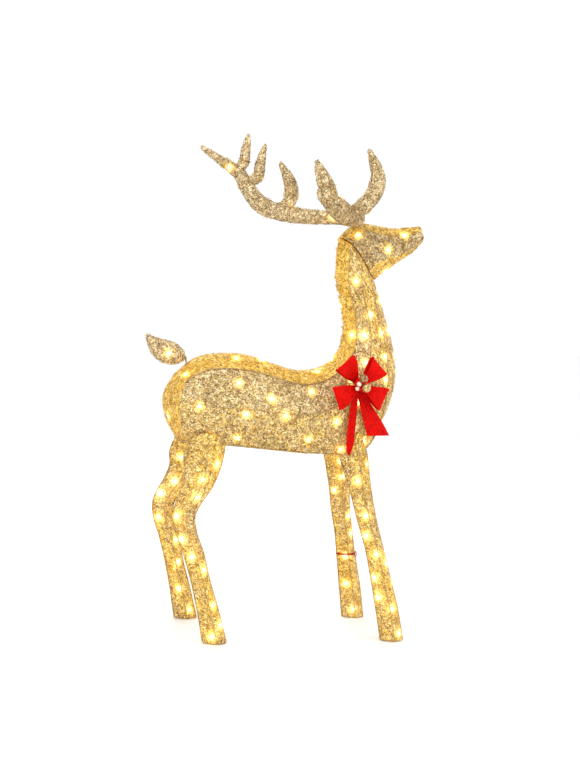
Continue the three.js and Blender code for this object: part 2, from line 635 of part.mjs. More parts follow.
for (const [side, sign] of Object.entries(SIDES)) {
  const branches = ANTLERS[side];
  const paths = antlerPaths(side);
  const outer = branches.map((branch, k) => solid(loft(branchRings(paths[k], branch, 0))));
  const inner = branches.map((branch, k) => {
    const rings = branchRings(paths[k], branch, SKIN * 1.2).slice(0, -1);
    if (k === 0) {
      const out = paths[0].getTangentAt(0).multiplyScalar(-1.5);
      rings[0] = rings[0].map((p) => p.add(out));
    }
    return solid(loft(rings));
  });
  piece(`skin_antler_${side}`, geometryOf(join(outer).subtract(join(inner))), goldMesh);

  const trunk = alongBranch(paths[0], branches[0], 0.03, 0.78, branches[0].steps + 2, 0.22);
  const seat = ANTLER_SEAT.clone().setY(sign * ANTLER_SEAT.y);
  const neck = seat.clone().setZ(seat.z + 2);
  const spine = [wire([seat, neck, ...trunk], ANTLER_WIRE)];
  branches.slice(1).forEach((branch, k) => {
    const run = alongBranch(paths[k + 1], branch, 0.2, 0.55, branch.steps + 2, 0.1);
    spine.push(wire([insideBranch(paths[0], branches[0], branch.root, 0.2), ...run], ANTLER_WIRE));
  });
  spine.push(wire([neck.clone().setZ(seat.z + 1), seat.clone().setZ(seat.z - PRONG_LENGTH + 1)], PRONG, 8));
  piece(`antler_frame_${side}`, geometryOf(join(spine)), goldWire);

  const strand = alongBranch(paths[0], branches[0], 0.08, 0.7, 8, -0.3);
  piece(`lights_antler_${side}`, geometryOf(lightString(strand, ANTLER_BULB)), copperWire);
}

// ---------------------------------------------------------------- tail
// Sections of the tail from its root to its tip: [x, lowest z, highest z, half width].
const TAIL_SECTIONS = [
  [-63.8, 158.8, 163.8, 2.2], [-66, 157.6, 166.4, 2.9], [-71, 156.2, 169.3, 3.2], [-77, 157.2, 170.6, 3],
  [-83, 161.5, 172, 2.2], [-88, 171.2, 173.8, 1],
];
function tailRing([x, low, high, half], inset = 0) {
  const level = (low + high) / 2;
  const middle = at(x, 0, level);
  return [at(x, 0, high), at(x, half, level), at(x, 0, low), at(x, -half, level)]
    .map((p) => toward(p, middle, inset));
}
{
  const outer = TAIL_SECTIONS.map((section) => tailRing(section));
  const inner = TAIL_SECTIONS.slice(0, -1).map((section) => tailRing(section, SKIN * 1.2));
  inner[0] = inner[0].map((p) => p.clone().setX(p.x + 1));
  piece('skin_tail', geometryOf(solid(loft(outer)).subtract(solid(loft(inner)))), goldMesh);

  const inset = (SKIN + GAP + ANTLER_WIRE / 2) * 1.7;
  const rings = TAIL_SECTIONS.slice(1, -2).map((section) => tailRing(section, inset));
  const root = at(-63, 0, 161.1);
  const hook = TAIL_BAR;
  const round = ANTLER_WIRE + GAP;
  const around = (x, z) => new THREE.Vector3(hook.x + x * round, 0, hook.z + z * round);
  const stem = [root, around(-1.5, 3), around(-1, 0.4), around(-0.75, -0.75), around(0.2, -1.05),
    around(1, -0.3), around(0.75, 0.75)];
  const edge = (corner) => wire([root, ...rings.map((ring) => ring[corner])], ANTLER_WIRE);
  const close = wire([rings.at(-1)[0], rings.at(-1)[2]], ANTLER_WIRE);
  piece('tail_frame', geometryOf(join([wire(stem, ANTLER_WIRE), edge(0), edge(2), close])), goldWire);

  const route = [at(-68, 0, 162), at(-72, 0, 161), at(-75.5, 0, 165)];
  piece('lights_tail', geometryOf(lightString(route, ANTLER_BULB)), copperWire);
}

// ---------------------------------------------------------------- battery case, in its own group
// Local x runs forward, z up from the case's underside.
deer.add(battery);
const BAY = {
  rear: -CASE.x / 2 + CASE_WALL,
  front: CASE.x / 2 - CASE_WALL - SWITCH_ROOM,
  half: CASE.y / 2 - CASE_WALL,
};
const HINGE = new THREE.Vector3(BAY.rear + 2, 0, HINGE_PIN / 2 + 2 * GAP);
const SWITCH_AT = new THREE.Vector3(CASE.x / 2 - CASE_WALL - SWITCH_ROOM / 2 + 0.5, -SWITCH_TRAVEL / 2, 0);
const KNOB_OUT = 0.8;          // how far the switch stands out of the underside
const FLANGE = 1;              // how far the switch's foot reaches past its knob
function crossPin(diameter, length) {
  const rod = new THREE.CylinderGeometry(diameter / 2, diameter / 2, length, 8);
  return solid(rod.translate(HINGE.x, 0, HINGE.z));
}
function block(low, high) {
  const size = high.clone().sub(low);
  return box([size.x, size.y, size.z], low.clone().add(high).multiplyScalar(0.5));
}
const v = (x, y, z) => new THREE.Vector3(x, y, z);
{
  const shell = block(v(-CASE.x / 2, -CASE.y / 2, 0), v(CASE.x / 2, CASE.y / 2, CASE.z));
  const bay = block(v(BAY.rear, -BAY.half, -1), v(BAY.front, BAY.half, CASE.z - CASE_WALL));
  const reach = SWITCH_KNOB.clone().multiplyScalar(0.5).add(v(GAP, GAP + SWITCH_TRAVEL / 2, 0));
  const s = SWITCH_AT;
  const slot = block(v(s.x - reach.x, -reach.y, -1), v(s.x + reach.x, reach.y, 2));
  const well = block(v(s.x - reach.x - FLANGE, -reach.y - FLANGE, 1.4),
    v(s.x + reach.x + FLANGE, reach.y + FLANGE, 1.4 + FLANGE + 2 * GAP));
  const pinHole = crossPin(HINGE_PIN + 2 * GAP, CASE.y - 0.8);
  const plastic = shell.subtract(bay).subtract(slot).subtract(well).subtract(pinHole);
  piece('battery_case', geometryOf(plastic), casePlastic, battery);

  const plate = block(v(HINGE.x, -BAY.half + GAP, 0), v(BAY.front - GAP, BAY.half - GAP, DOOR));
  const knuckle = block(v(HINGE.x - 0.5, -BAY.half + GAP, 0.4), v(HINGE.x + 0.7, BAY.half - GAP, HINGE.z));
  const door = plate.add(knuckle).add(crossPin(HINGE_PIN, CASE.y - 0.8 - 2 * GAP));
  piece('battery_door', geometryOf(door), casePlastic, battery);

  const foot = KNOB_OUT;
  const knob = block(v(-SWITCH_KNOB.x / 2, -SWITCH_KNOB.y / 2, -foot), v(SWITCH_KNOB.x / 2, SWITCH_KNOB.y / 2, 2));
  const flange = block(v(-SWITCH_KNOB.x / 2 - FLANGE, -SWITCH_KNOB.y / 2 - FLANGE, 1.4 + GAP),
    v(SWITCH_KNOB.x / 2 + FLANGE, SWITCH_KNOB.y / 2 + FLANGE, 1.4 + GAP + FLANGE));
  piece('switch_knob', geometryOf(knob.add(flange)), knobPlastic, battery).position.copy(SWITCH_AT);

  const cellFront = BAY.front - CONTACT - 2 * GAP;
  const cellLevel = DOOR + GAP + CELL_DIAMETER / 2;
  const cellAcross = (CELL_DIAMETER + GAP) / 2;
  const r = CELL_DIAMETER / 2;
  const profile = [[0, 0], [r, 0], [r, CELL_LENGTH - 1], [2.7, CELL_LENGTH - 1], [2.7, CELL_LENGTH], [0, CELL_LENGTH]];
  for (const [name, sign] of [['cell_left', 1], ['cell_right', -1]]) {
    const can = new THREE.LatheGeometry(profile.map(([x, y]) => new THREE.Vector2(x, y)), 12);
    const turned = can.translate(0, -CELL_LENGTH / 2, 0).rotateZ((-sign * Math.PI) / 2);
    piece(name, geometryOf(solid(turned)), cellJacket, battery)
      .position.set(cellFront - CELL_LENGTH / 2, sign * cellAcross, cellLevel);
    // A coil behind each cell.
    const room = cellFront - CELL_LENGTH - BAY.rear - 2 * GAP - SPRING_WIRE;
    const coil = stations(0, 1, 16).map((t) => {
      const turn = 2.5 * 2 * Math.PI * t;
      return v(room * (t - 0.5), Math.cos(turn) * 2.6, Math.sin(turn) * 2.6);
    });
    piece(`contact_spring_${name.slice(5)}`, geometryOf(wire(coil, SPRING_WIRE)), springSteel, battery)
      .position.set(BAY.rear + GAP + (SPRING_WIRE + room) / 2, sign * cellAcross, cellLevel + 0.5);
  }
  const bridge = new THREE.BoxGeometry(CONTACT, 2 * BAY.half - 2 * GAP - 2, CELL_DIAMETER - 3);
  piece('contact_plate', geometryOf(solid(bridge)), springSteel, battery)
    .position.set(BAY.front - GAP - CONTACT / 2, 0, cellLevel);
}

// ---------------------------------------------------------------- light string in the body and head
// One run starts at the battery case and zigzags inside the flanks from the rump to the top of the neck.
{
  const lead = v(-CASE.x / 2 - 1, 6, CASE.z - 3).applyMatrix4(battery.matrix);
  const points = [lead, lead.clone().add(v(-1.5, -3, 8))];
  const turns = 6;
  for (let k = 0; k <= turns * 4; k++) {
    const t = k / (turns * 4);
    const swing = 2.7 * Math.round(Math.sin((Math.PI / 2) * k));
    const station = 1 + t * (NECK_TOP - 1.7);
    const depth = THREE.MathUtils.lerp(5.4, 3.6, t) + (swing === 0 ? 2 : 0);
    points.push(toward(body.point(station, swing), body.middle(station), depth));
  }
  piece('lights_body', geometryOf(lightString(points)), copperWire);

  const route = [0.7, 1.2, 1.8, 2.4, 3, 3.5, 4].map((station, k) => {
    const p = head.point(station, k % 2 ? 3 : -3);
    return toward(p, head.middle(station), THREE.MathUtils.lerp(4.6, 3.4, k / 6));
  });
  piece('lights_head', geometryOf(lightString(route)), copperWire);
}

// ---------------------------------------------------------------- thread on a front leg
{
  const [above, below] = [LEG_SECTIONS.front[4], LEG_SECTIONS.front[5]];
  const height = 42;
  const mix = (z) => below.map((low, k) => low + ((above[k] - low) * (z - below[0])) / (above[0] - below[0]));
  const band = [height - THREAD / 2, height + THREAD / 2];
  const outer = loft(band.map((z) => legCorners(mix(z), -GAP - THREAD)));
  const hole = loft([height - 3, height + 3].map((z) => legCorners(mix(z), -GAP)));
  piece('thread_front_left', geometryOf(solid(outer).subtract(solid(hole))), redThread);
}

// ---------------------------------------------------------------- bow
// A ribbon along a profile drawn in the plane of one direction: [reach, height, width] at each point.
function ribbon(angle, profile) {
  const out = new THREE.Vector3(Math.cos(angle), Math.sin(angle), 0);
  const side = new THREE.Vector3(-out.y, out.x, 0);
  const centres = profile.map(([reach, height]) => out.clone().multiplyScalar(reach).setZ(height));
  return solid(loft(profile.map(([, , width], k) => {
    const along = centres[Math.min(k + 1, profile.length - 1)].clone().sub(centres[Math.max(k - 1, 0)]);
    const face = new THREE.Vector3().crossVectors(along, side).setLength(RIBBON / 2);
    const half = side.clone().multiplyScalar(width / 2);
    const c = centres[k];
    return [
      c.clone().add(half).add(face), c.clone().sub(half).add(face),
      c.clone().sub(half).sub(face), c.clone().add(half).sub(face),
    ];
  })));
}
function bowLoop(angle, share, layer) {
  const r = BOW_REACH * share;
  const w = RIBBON_WIDTH;
  return ribbon(angle, [
    [0, layer, 2.4], [0.2 * r, layer, 3.2], [0.5 * r, layer - 0.2, 0.6 * w], [0.85 * r, layer + 0.2, 0.9 * w],
    [0.97 * r, layer + 0.9, w], [r, layer + 2, w], [0.94 * r, layer + 3.1, w], [0.75 * r, layer + 3.5, 0.86 * w],
    [0.45 * r, layer + 2.9, 0.52 * w], [0.2 * r, layer + 1.9, 3.2], [0, layer + 1.5, 2.4],
  ]);
}
{
  const degrees = THREE.MathUtils.degToRad;
  const layers = { tails: RIBBON / 2, back: 1.9, front: 5 };
  const core = (level, height) => box([2.4, 2.4, height], v(0, 0, level));
  const pair = (loops, layer) => join([
    ...loops.map(([angle, share]) => bowLoop(degrees(angle), share, layer)),
    core(layer + 0.75, 1.5 + RIBBON),
  ]);
  piece('bow_loops_back', geometryOf(pair([[131, 0.95], [-24, 1.12]], layers.back)), redRibbon, bow);
  piece('bow_loops_front', geometryOf(pair([[48, 0.93], [205, 1.06]], layers.front)), redRibbon, bow);
  const leftTail = ribbon(degrees(267), [[0, layers.tails, 2.6], [4, layers.tails, 3.4],
    [RIBBON_TAILS.left * 0.6, layers.tails + 0.6, 5], [RIBBON_TAILS.left - 5, layers.tails + 1, 5],
    [RIBBON_TAILS.left, layers.tails + 1, 0.8]]);
  const rightTail = ribbon(degrees(301), [[0, layers.tails, 2.6], [4, layers.tails, 3.4],
    [RIBBON_TAILS.right * 0.6, layers.tails + 0.6, 0.75 * RIBBON_WIDTH],
    [RIBBON_TAILS.right, layers.tails + 1, RIBBON_WIDTH]]);
  piece('bow_tails', geometryOf(leftTail.add(rightTail)), redRibbon, bow);

  const tieFront = layers.front + 1.5 + RIBBON / 2 + GAP + TIE_WIRE / 2;
  const knotBack = tieFront + TIE_WIRE / 2 + GAP;
  const knot = new THREE.IcosahedronGeometry(1, 1).scale(4.6, 3.9, 0.9).translate(-1.4, 0.8, knotBack + 0.9);
  piece('bow_knot', geometryOf(solid(knot)), redKnot, bow);
  const [right, left] = TIE_SIDES.map((turn) => (level) =>
    v(TIE_REACH * Math.cos(turn), TIE_REACH * Math.sin(turn), level));
  const tie = wire([left(-7), left(tieFront), right(tieFront), right(-7)], TIE_WIRE);
  piece('bow_tie_wire', geometryOf(tie), goldWire, bow);

  const beadLevel = knotBack + 2 * 0.9 + GAP;
  const beads = [
    ['bead_gold', BEADS.gold, -1.1, -0.8, goldBead], ['bead_bronze', BEADS.bronze, -3.2, 4.6, bronzeBead],
    ['bead_pale', BEADS.pale, -5.5, 1.2, paleBead], ['bead_small', BEADS.small, -6.4, -1.5, paleBead],
  ];
  for (const [name, diameter, x, y, finish] of beads) {
    piece(name, new THREE.IcosahedronGeometry(diameter / 2, 1), finish, bow)
      .position.set(x, y, beadLevel + diameter / 2);
  }
}

// ---------------------------------------------------------------- origin
// The whole deer, moved so that the origin is on the ground under the middle of its box.
const placed = new THREE.Group();
placed.add(deer);
placed.updateMatrixWorld(true);
const reach = new THREE.Box3().setFromObject(deer, true);
const middle = reach.getCenter(new THREE.Vector3());
deer.position.set(-middle.x, -middle.y, -reach.min.z);

export default placed;
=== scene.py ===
"""Looks of the light up yard reindeer: gold glitter gauze on wire, lit by fairy lights, with a red bow.

The sections of body, head, legs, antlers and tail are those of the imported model, in millimetres about the
deer's middle plane. place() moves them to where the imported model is, in metres.
"""

import json
import math

import bpy
import numpy as np
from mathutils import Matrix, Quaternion, Vector


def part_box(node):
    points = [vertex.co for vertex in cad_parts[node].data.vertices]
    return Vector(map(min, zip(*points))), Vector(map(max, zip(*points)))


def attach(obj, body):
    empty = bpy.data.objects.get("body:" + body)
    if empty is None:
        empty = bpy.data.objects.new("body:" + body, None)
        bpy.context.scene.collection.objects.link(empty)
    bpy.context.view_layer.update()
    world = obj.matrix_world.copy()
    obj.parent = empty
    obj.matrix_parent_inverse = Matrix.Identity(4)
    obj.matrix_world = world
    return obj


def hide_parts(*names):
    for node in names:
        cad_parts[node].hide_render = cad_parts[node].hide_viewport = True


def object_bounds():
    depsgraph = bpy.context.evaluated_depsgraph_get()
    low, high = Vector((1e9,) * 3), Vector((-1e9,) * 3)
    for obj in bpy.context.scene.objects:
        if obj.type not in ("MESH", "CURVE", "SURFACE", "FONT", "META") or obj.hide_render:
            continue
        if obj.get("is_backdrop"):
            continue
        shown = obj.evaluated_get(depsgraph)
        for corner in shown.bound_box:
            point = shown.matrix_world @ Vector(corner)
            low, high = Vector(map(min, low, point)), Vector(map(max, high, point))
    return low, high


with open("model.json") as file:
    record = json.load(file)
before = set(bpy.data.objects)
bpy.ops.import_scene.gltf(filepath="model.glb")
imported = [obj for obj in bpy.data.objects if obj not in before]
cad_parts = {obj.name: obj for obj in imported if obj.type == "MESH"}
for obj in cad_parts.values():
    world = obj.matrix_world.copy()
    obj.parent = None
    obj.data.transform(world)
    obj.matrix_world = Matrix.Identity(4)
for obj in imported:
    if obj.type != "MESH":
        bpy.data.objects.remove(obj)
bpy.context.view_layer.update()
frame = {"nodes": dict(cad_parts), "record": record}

SEED = 7
SIDES = {"left": 1, "right": -1}

# ---- sections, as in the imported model
# Each rib from the rump to the top of the neck: ridge, up, mid, flank, low and keel, as x, half width, z.
BODY_RIBS = np.array([
    [[-68, 0, 151], [-66, 15, 148], [-70, 19, 137], [-68, 17.5, 124],
     [-62.5, 14, 113], [-62.5, 0, 112]],
    [[-56, 0, 161], [-54, 16.5, 155], [-53, 24, 135], [-50, 22, 123], [-46, 16.5, 113], [-46, 0, 112]],
    [[-31, 0, 164.5], [-31, 17.5, 156], [-28, 25.5, 134], [-26, 23.5, 121],
     [-23, 17, 111.5], [-23, 0, 110.5]],
    [[7, 0, 156.5], [8, 16.5, 149.5], [10, 24.5, 133], [12, 22.5, 119], [14, 17, 109.3], [14, 0, 108]],
    [[24, 0, 160.5], [26, 14, 156], [34, 20, 143], [40, 18.5, 126], [46.5, 15, 111.8], [49, 0, 110.8]],
    [[33, 0, 171], [37, 11.5, 169], [45, 15.5, 159], [52, 14.5, 144],
     [57.5, 12.3, 128], [62.5, 0, 128]],
    [[34.5, 0, 186], [39.2, 9, 185], [48, 12.5, 176], [56, 11.5, 164], [61.7, 10, 152], [70, 0, 152]],
    [[31.5, 0, 200], [36, 8, 199], [45, 11, 193], [53, 10, 183], [59, 8.7, 174], [67, 0, 174]],
    [[27.5, 0, 214], [32.5, 7.6, 213], [41, 9.8, 208], [47, 9, 202], [52.5, 8, 194], [59.5, 0, 194]],
    [[27.1, 0, 237.1], [32.4, 7.3, 233.8], [38.2, 9.3, 226.9], [42, 8.6, 222.1], [45.6, 7.3, 217.3],
     [51.4, 0, 213.4]],
], float)
HEAD_RIBS = np.array([
    [[27.6, 0, 238], [32.9, 7.3, 234.6], [38.8, 9.4, 227.6], [42.6, 8.7, 222.8],
     [46.2, 7.4, 218], [52, 0, 214]],
    [[38, 0, 246.5], [39.5, 8, 241.5], [43.5, 11, 233], [47, 10.2, 227.5],
     [50.5, 8, 222.5], [56, 0, 217.5]],
    [[50, 0, 246.3], [50, 8, 241], [52.5, 10.5, 234], [55, 9.8, 230], [57.5, 7.5, 226], [62, 0, 222]],
    [[62, 0, 245.6], [62, 6.5, 240.5], [63.5, 8.8, 235.5], [65, 8, 232.5],
     [66.5, 6.3, 230], [69, 0, 227.5]],
    [[72.5, 0, 247.2], [72.5, 5.2, 242.6], [73.3, 7, 239], [74, 6.5, 236.5],
     [74.5, 5, 234.2], [75.5, 0, 232]],
    [[79, 0, 248], [79.2, 3.6, 245], [79.8, 4.8, 242], [79.8, 4.4, 240],
     [79.5, 3.4, 238], [79, 0, 236.2]],
], float)
# The back strip's rows below the first rib, from the foot of the rump up: its edge, then its ridge.
RUMP_ROWS = np.array([
    [[-62.5, 14, 113.6], [-63.6, 0, 113]],
    [[-68, 17.5, 124], [-70.2, 0, 123.5]],
    [[-70, 19, 137], [-72.6, 0, 137.5]],
], float)
# A leg from the body down: z, rear x, front x, middle y, half thickness.
LEG_SECTIONS = {
    "hind": np.array([
        [111.2, -62.2, -39.5, 14, 6.8], [104, -64.5, -41, 15.4, 6.8], [96, -63.5, -43.5, 17.2, 6.4],
        [87, -65.8, -48, 19.4, 5.9], [80, -68.8, -53.5, 21.4, 5.4], [72, -70.8, -57.8, 23.4, 5],
        [64, -69.4, -57.2, 24.8, 4.8], [51, -64.3, -52.4, 26.8, 4.8], [37, -59.6, -48.6, 28.4, 4.9],
        [20, -55, -42.8, 29.8, 5], [0, -50.5, -36.5, 31, 5.2],
    ], float),
    "front": np.array([
        [108.2, 32, 49.5, 12.8, 6], [100, 35, 51, 14.6, 5.8], [85, 39.8, 53, 18, 5.2],
        [70, 43.8, 55.8, 21.4, 4.8], [55, 48.5, 59.8, 24.4, 4.7], [38, 52.3, 64.5, 27, 4.8],
        [19, 56.2, 70, 29.3, 4.9], [0, 60, 74.3, 31, 5.1],
    ], float),
}
# Branches of each antler: share of the beam where it starts, its points, and its radii at root, middle
# and tip.
ANTLER_ROOT = [[36.5, 5.6, 248.6], [33, 9, 249.8]]
ANTLERS = {
    "left": [
        (None, [*ANTLER_ROOT, [15, 20, 249.5], [1, 32, 251], [-9, 41, 255], [-15, 48, 263], [-21, 54, 274],
                [-31.5, 61.5, 282], [-43, 69, 290]], (3.8, 5.1, 1.1)),
        (0.42, [[7.5, 37, 259], [8.5, 40, 269], [1.5, 43, 283]], (3.3, 4.2, 0.9)),
        (0.67, [[-11, 48, 272], [-9.5, 48, 281], [-7, 49, 293.5]], (3, 3.2, 0.8)),
        (0.75, [[-18.5, 54, 281], [-17.5, 55, 289], [-16, 55, 299.4]], (3, 3, 0.8)),
    ],
    "right": [
        (None, [*ANTLER_ROOT, [25, 18, 249.5], [15, 29, 252], [6, 38, 256], [-3, 46, 261]], (4.6, 6, 3.8)),
        (0.36, [[29, 30, 255], [34, 34, 264], [34, 37, 273], [25.5, 41, 287]], (4, 4.7, 1)),
        (0.7, [[3, 40, 262], [-2.5, 44, 268.5], [-8, 47, 277.5]], (3.6, 4.4, 0.9)),
    ],
}
# The tail from its root to its tip: x, lowest z, highest z, half width.
TAIL_SECTIONS = np.array([
    [-63.8, 158.8, 163.8, 2.2], [-66, 157.6, 166.4, 2.9], [-71, 156.2, 169.3, 3.2], [-77, 157.2, 170.6, 3],
    [-83, 161.5, 172, 2.2], [-88, 171.2, 173.8, 1],
], float)

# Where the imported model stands: its front toe and its middle plane give the shift from the sections above.
TOE_X = LEG_SECTIONS["front"][-1, 2]
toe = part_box("skin_leg_front_left")[1]
belly_low, belly_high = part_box("skin_belly")
SHIFT = np.array([toe.x * 1000 - TOE_X, (belly_low.y + belly_high.y) * 500, 0])


def place(points):
    """Points of the sections, in millimetres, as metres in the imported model's frame."""
    return (np.asarray(points, float) + SHIFT) / 1000


def mirrored(points, side):
    return np.asarray(points, float) * [1, side, 1]


# ---- curves and surfaces
class Curve:
    """A centripetal Catmull-Rom curve through the points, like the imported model's."""

    def __init__(self, points):
        p = np.array(points, float)
        self.spans = len(p) - 1
        self.p = np.vstack([2 * p[0] - p[1], p, 2 * p[-1] - p[-2]])

    def at(self, t):
        t = np.clip(t, 0, 1) * self.spans
        k = np.minimum(t.astype(int), self.spans - 1)
        w = (t - k)[..., None]
        a, b, c, d = (self.p[k + i] for i in range(4))
        ab, bc, cd = (np.maximum(np.linalg.norm(y - x, axis=-1, keepdims=True), 1e-6) ** 0.5
                      for x, y in ((a, b), (b, c), (c, d)))
        leave = ((b - a) / ab - (c - a) / (ab + bc) + (c - b) / bc) * bc
        arrive = ((c - b) / bc - (d - b) / (bc + cd) + (d - c) / cd) * bc
        return (b + leave * w + (3 * (c - b) - 2 * leave - arrive) * w ** 2
                + (2 * (b - c) + leave + arrive) * w ** 3)


def smooth(a, b, c, d, w):
    """The uniform Catmull-Rom curve from b to c."""
    return 0.5 * (2 * b + (c - a) * w + (2 * a - 5 * b + 4 * c - d) * w ** 2
                  + (3 * (b - c) + d - a) * w ** 3)


def across(values, share):
    """Smooth curve through a row of points that differs at each sample: values (k, n, 3), share (n)."""
    last = len(values) - 1
    t = np.clip(share, 0, 1) * last
    k = np.minimum(t.astype(int), last - 1)
    w = (t - k)[:, None]
    stacked = np.stack([2 * values[0] - values[1], *values, 2 * values[-1] - values[-2]])
    here = np.arange(len(k))
    a, b, c, d = (stacked[k + i, here] for i in range(4))
    return smooth(a, b, c, d, w)


class Surface:
    """A sheet given by a function of u, along it, and v, across it, both from 0 to 1."""

    def __init__(self, make, closed=False, size=(20, 20), heart=None, warm_and_glow=None):
        self.make = make
        # The warm share, from 0 to 1, gives the gauze a warmer tint and a stronger painted glow.
        self.warm_and_glow = warm_and_glow or (lambda u, v: np.zeros(len(u)))
        self.closed = closed       # v runs all the way round
        self.rows, self.columns = size
        self.heart = heart         # a function that gives the middle the sheet faces away from

    def at(self, u, v):
        shape = np.shape(u)
        u, v = np.ravel(u).astype(float), np.ravel(v).astype(float)
        u = np.abs((u + 1) % 2 - 1)
        v = v % 1.0 if self.closed else np.abs((v + 1) % 2 - 1)
        return self.make(u, v).reshape(*shape, 3)

    def frame(self, u, v):
        """Points, the two directions of the sheet with their lengths, and the normal that points out."""
        h = 1e-3
        u, v = np.asarray(u, float), np.asarray(v, float)
        uu = np.clip(u, h, 1 - h)
        vv = v if self.closed else np.clip(v, h, 1 - h)
        along = (self.at(uu + h, vv) - self.at(uu - h, vv)) / (2 * h)
        over = (self.at(uu, vv + h) - self.at(uu, vv - h)) / (2 * h)
        p = self.at(u, v)
        normal = np.cross(along, over)
        normal /= np.maximum(np.linalg.norm(normal, axis=-1, keepdims=True), 1e-9)
        out = p - self.heart(u, p)
        normal *= np.where((normal * out).sum(-1, keepdims=True) < 0, -1, 1)
        return p, along, over, normal


class Barrel:
    def __init__(self, ribs):
        self.curves = [Curve(ribs[:, k]) for k in range(6)]
        self.last = len(ribs) - 1

    def edge(self, k, u, side=1):
        """Points on edge k, from 0 at the ridge to 5 at the keel."""
        return mirrored(self.curves[k].at(u), side)

    def heart(self, u, p):
        middle = self.curves[2].at(np.clip(u, 0, 1))
        return middle * [1, 0, 1]


body = Barrel(BODY_RIBS)
head = Barrel(HEAD_RIBS)


def side_warmth_and_glow(u, v):
    """Below its middle seam, and up the neck, the side is a little warmer, with a stronger painted glow."""
    return np.clip(0.1 + 0.22 * (v > 1 / 3) + 0.3 * np.clip((u - 0.6) * 5, 0, 1), 0, 1)


# A warm tint and the stronger painted glow everywhere.
def all_warm_and_glowing(u, v):
    return np.ones(len(u))


# A middling warm tint and painted glow all along the belly.
def belly_warmth_and_glow(u, v):
    return np.full(len(u), 0.35)


def head_warmth_and_glow(u, v):
    """The strips over the head and under the jaw are warm, with a stronger painted glow, its sides cool."""
    turn = np.abs(((v + 0.5) % 1) - 0.5) * 10
    return np.where((turn < 0.9) | (turn > 3.7), 0.9, 0.15)


# Warm tint and painted glow that wander round and down the leg.
def leg_warmth_and_glow(u, v):
    return 0.6 + 0.3 * np.sin(9 * u + 2 * np.sin(2 * math.pi * v)) * np.sin(2 * math.pi * v + 1)


def side_panel(side):
    def make(u, v):
        return mirrored(across(np.stack([body.edge(k, u) for k in (1, 2, 3, 4)]), v), side)
    return Surface(make, size=(230, 56), heart=body.heart, warm_and_glow=side_warmth_and_glow)


# The back strip: its first part climbs the rump, the rest follows the ribs.
RUMP_SHARE = 0.14
NECK_START = 0.6       # share of the body's length where the neck's wraps begin
WRAPS = 17             # wraps along the whole length
WRAP_DEPTH = 0.35
rump_edge = Curve([*RUMP_ROWS[:, 0], BODY_RIBS[0, 1]])
rump_ridge = Curve([*RUMP_ROWS[:, 1], BODY_RIBS[0, 0]])


def back_make(u, v):
    low = (u < RUMP_SHARE)[:, None]
    t_low = np.minimum(u / RUMP_SHARE, 1)
    t_high = np.maximum((u - RUMP_SHARE) / (1 - RUMP_SHARE), 0)
    edge = np.where(low, rump_edge.at(t_low), body.edge(1, t_high))
    ridge = np.where(low, rump_ridge.at(t_low), body.edge(0, t_high))
    neck = np.clip((t_high - NECK_START) * 8, 0, 1)
    wrap = neck * WRAP_DEPTH * np.clip(5 * np.sin(2 * math.pi * WRAPS * t_high) + 2, -1, 1)
    out = ridge - back_heart(u, ridge)
    push = out / np.linalg.norm(out, axis=1, keepdims=True) * wrap[:, None]
    return across(np.stack([edge + push * 0.6, ridge + push, (edge + push * 0.6) * [1, -1, 1]]), v)


def back_heart(u, p):
    t_high = np.maximum((np.asarray(u) - RUMP_SHARE) / (1 - RUMP_SHARE), 0)
    middle = body.heart(t_high, p)
    return np.where((np.asarray(u) < RUMP_SHARE)[..., None], [-50, 0, 133], middle)


def belly_make(u, v):
    low = body.edge(4, u)
    keel = body.edge(5, u)
    return across(np.stack([low, keel, low * [1, -1, 1]]), v)


def round_barrel(barrel, u, v):
    """The whole section, once round from the ridge down the left side and up the right side."""
    edges = [barrel.edge(k, u) for k in range(6)]
    ring = edges + [edges[k] * [1, -1, 1] for k in (4, 3, 2, 1)]
    count = len(ring)
    stacked = np.stack(ring)
    t = (v % 1.0) * count
    k = t.astype(int) % count
    w = (t - np.floor(t))[:, None]
    here = np.arange(len(k))
    a, b, c, d = (stacked[(k + i) % count, here] for i in (-1, 0, 1, 2))
    return smooth(a, b, c, d, w)


NOSE_CAP = 0.93        # past this share of its length the head closes into the nose


def head_make(u, v):
    along = np.minimum(u / NOSE_CAP, 1)
    ring = round_barrel(head, along, v)
    middle = head.heart(along, ring)
    close = np.clip((u - NOSE_CAP) / (1 - NOSE_CAP), 0, 1)[:, None]
    bulge = np.array([1.4, 0, 0.3]) * np.sin(close * math.pi / 2)
    return middle + (ring - middle) * np.cos(close * math.pi / 2) ** 0.7 + bulge


def head_heart(u, p):
    return head.heart(np.minimum(np.asarray(u) / NOSE_CAP, 0.9), p) - [2, 0, 0]


# ---- legs
under_u, under_v = np.meshgrid(np.linspace(0, 1, 240), np.linspace(0, 1, 60), indexing="ij")
UNDERSIDE = np.concatenate([
    side_panel(1).at(under_u, 0.5 + under_v / 2).reshape(-1, 3),
    belly_make(under_u.ravel(), under_v.ravel()),
])
SEAM = 0.5             # a leg's mesh stops this far under the body's
RISE = 15              # the length over which a leg's top rises to meet the body
DIAMOND = 1.45         # 1 is a diamond section, 2 an ellipse
# The hind legs are flatter on their inner side, so that the open battery door passes between them.
INNER_DIAMOND = {"hind": 1.0, "front": DIAMOND}
INNER_SHARE = {"hind": 0.8, "front": 1.0}


def leg_section(pair, z):
    rows = LEG_SECTIONS[pair][::-1]
    curve = Curve([[row[0], row[1], row[2]] for row in rows])
    other = Curve([[row[0], row[3], row[4]] for row in rows])
    t = np.interp(z, rows[:, 0], np.linspace(0, 1, len(rows)))
    a, b = curve.at(t), other.at(t)
    return a[..., 1], a[..., 2], b[..., 1], b[..., 2]


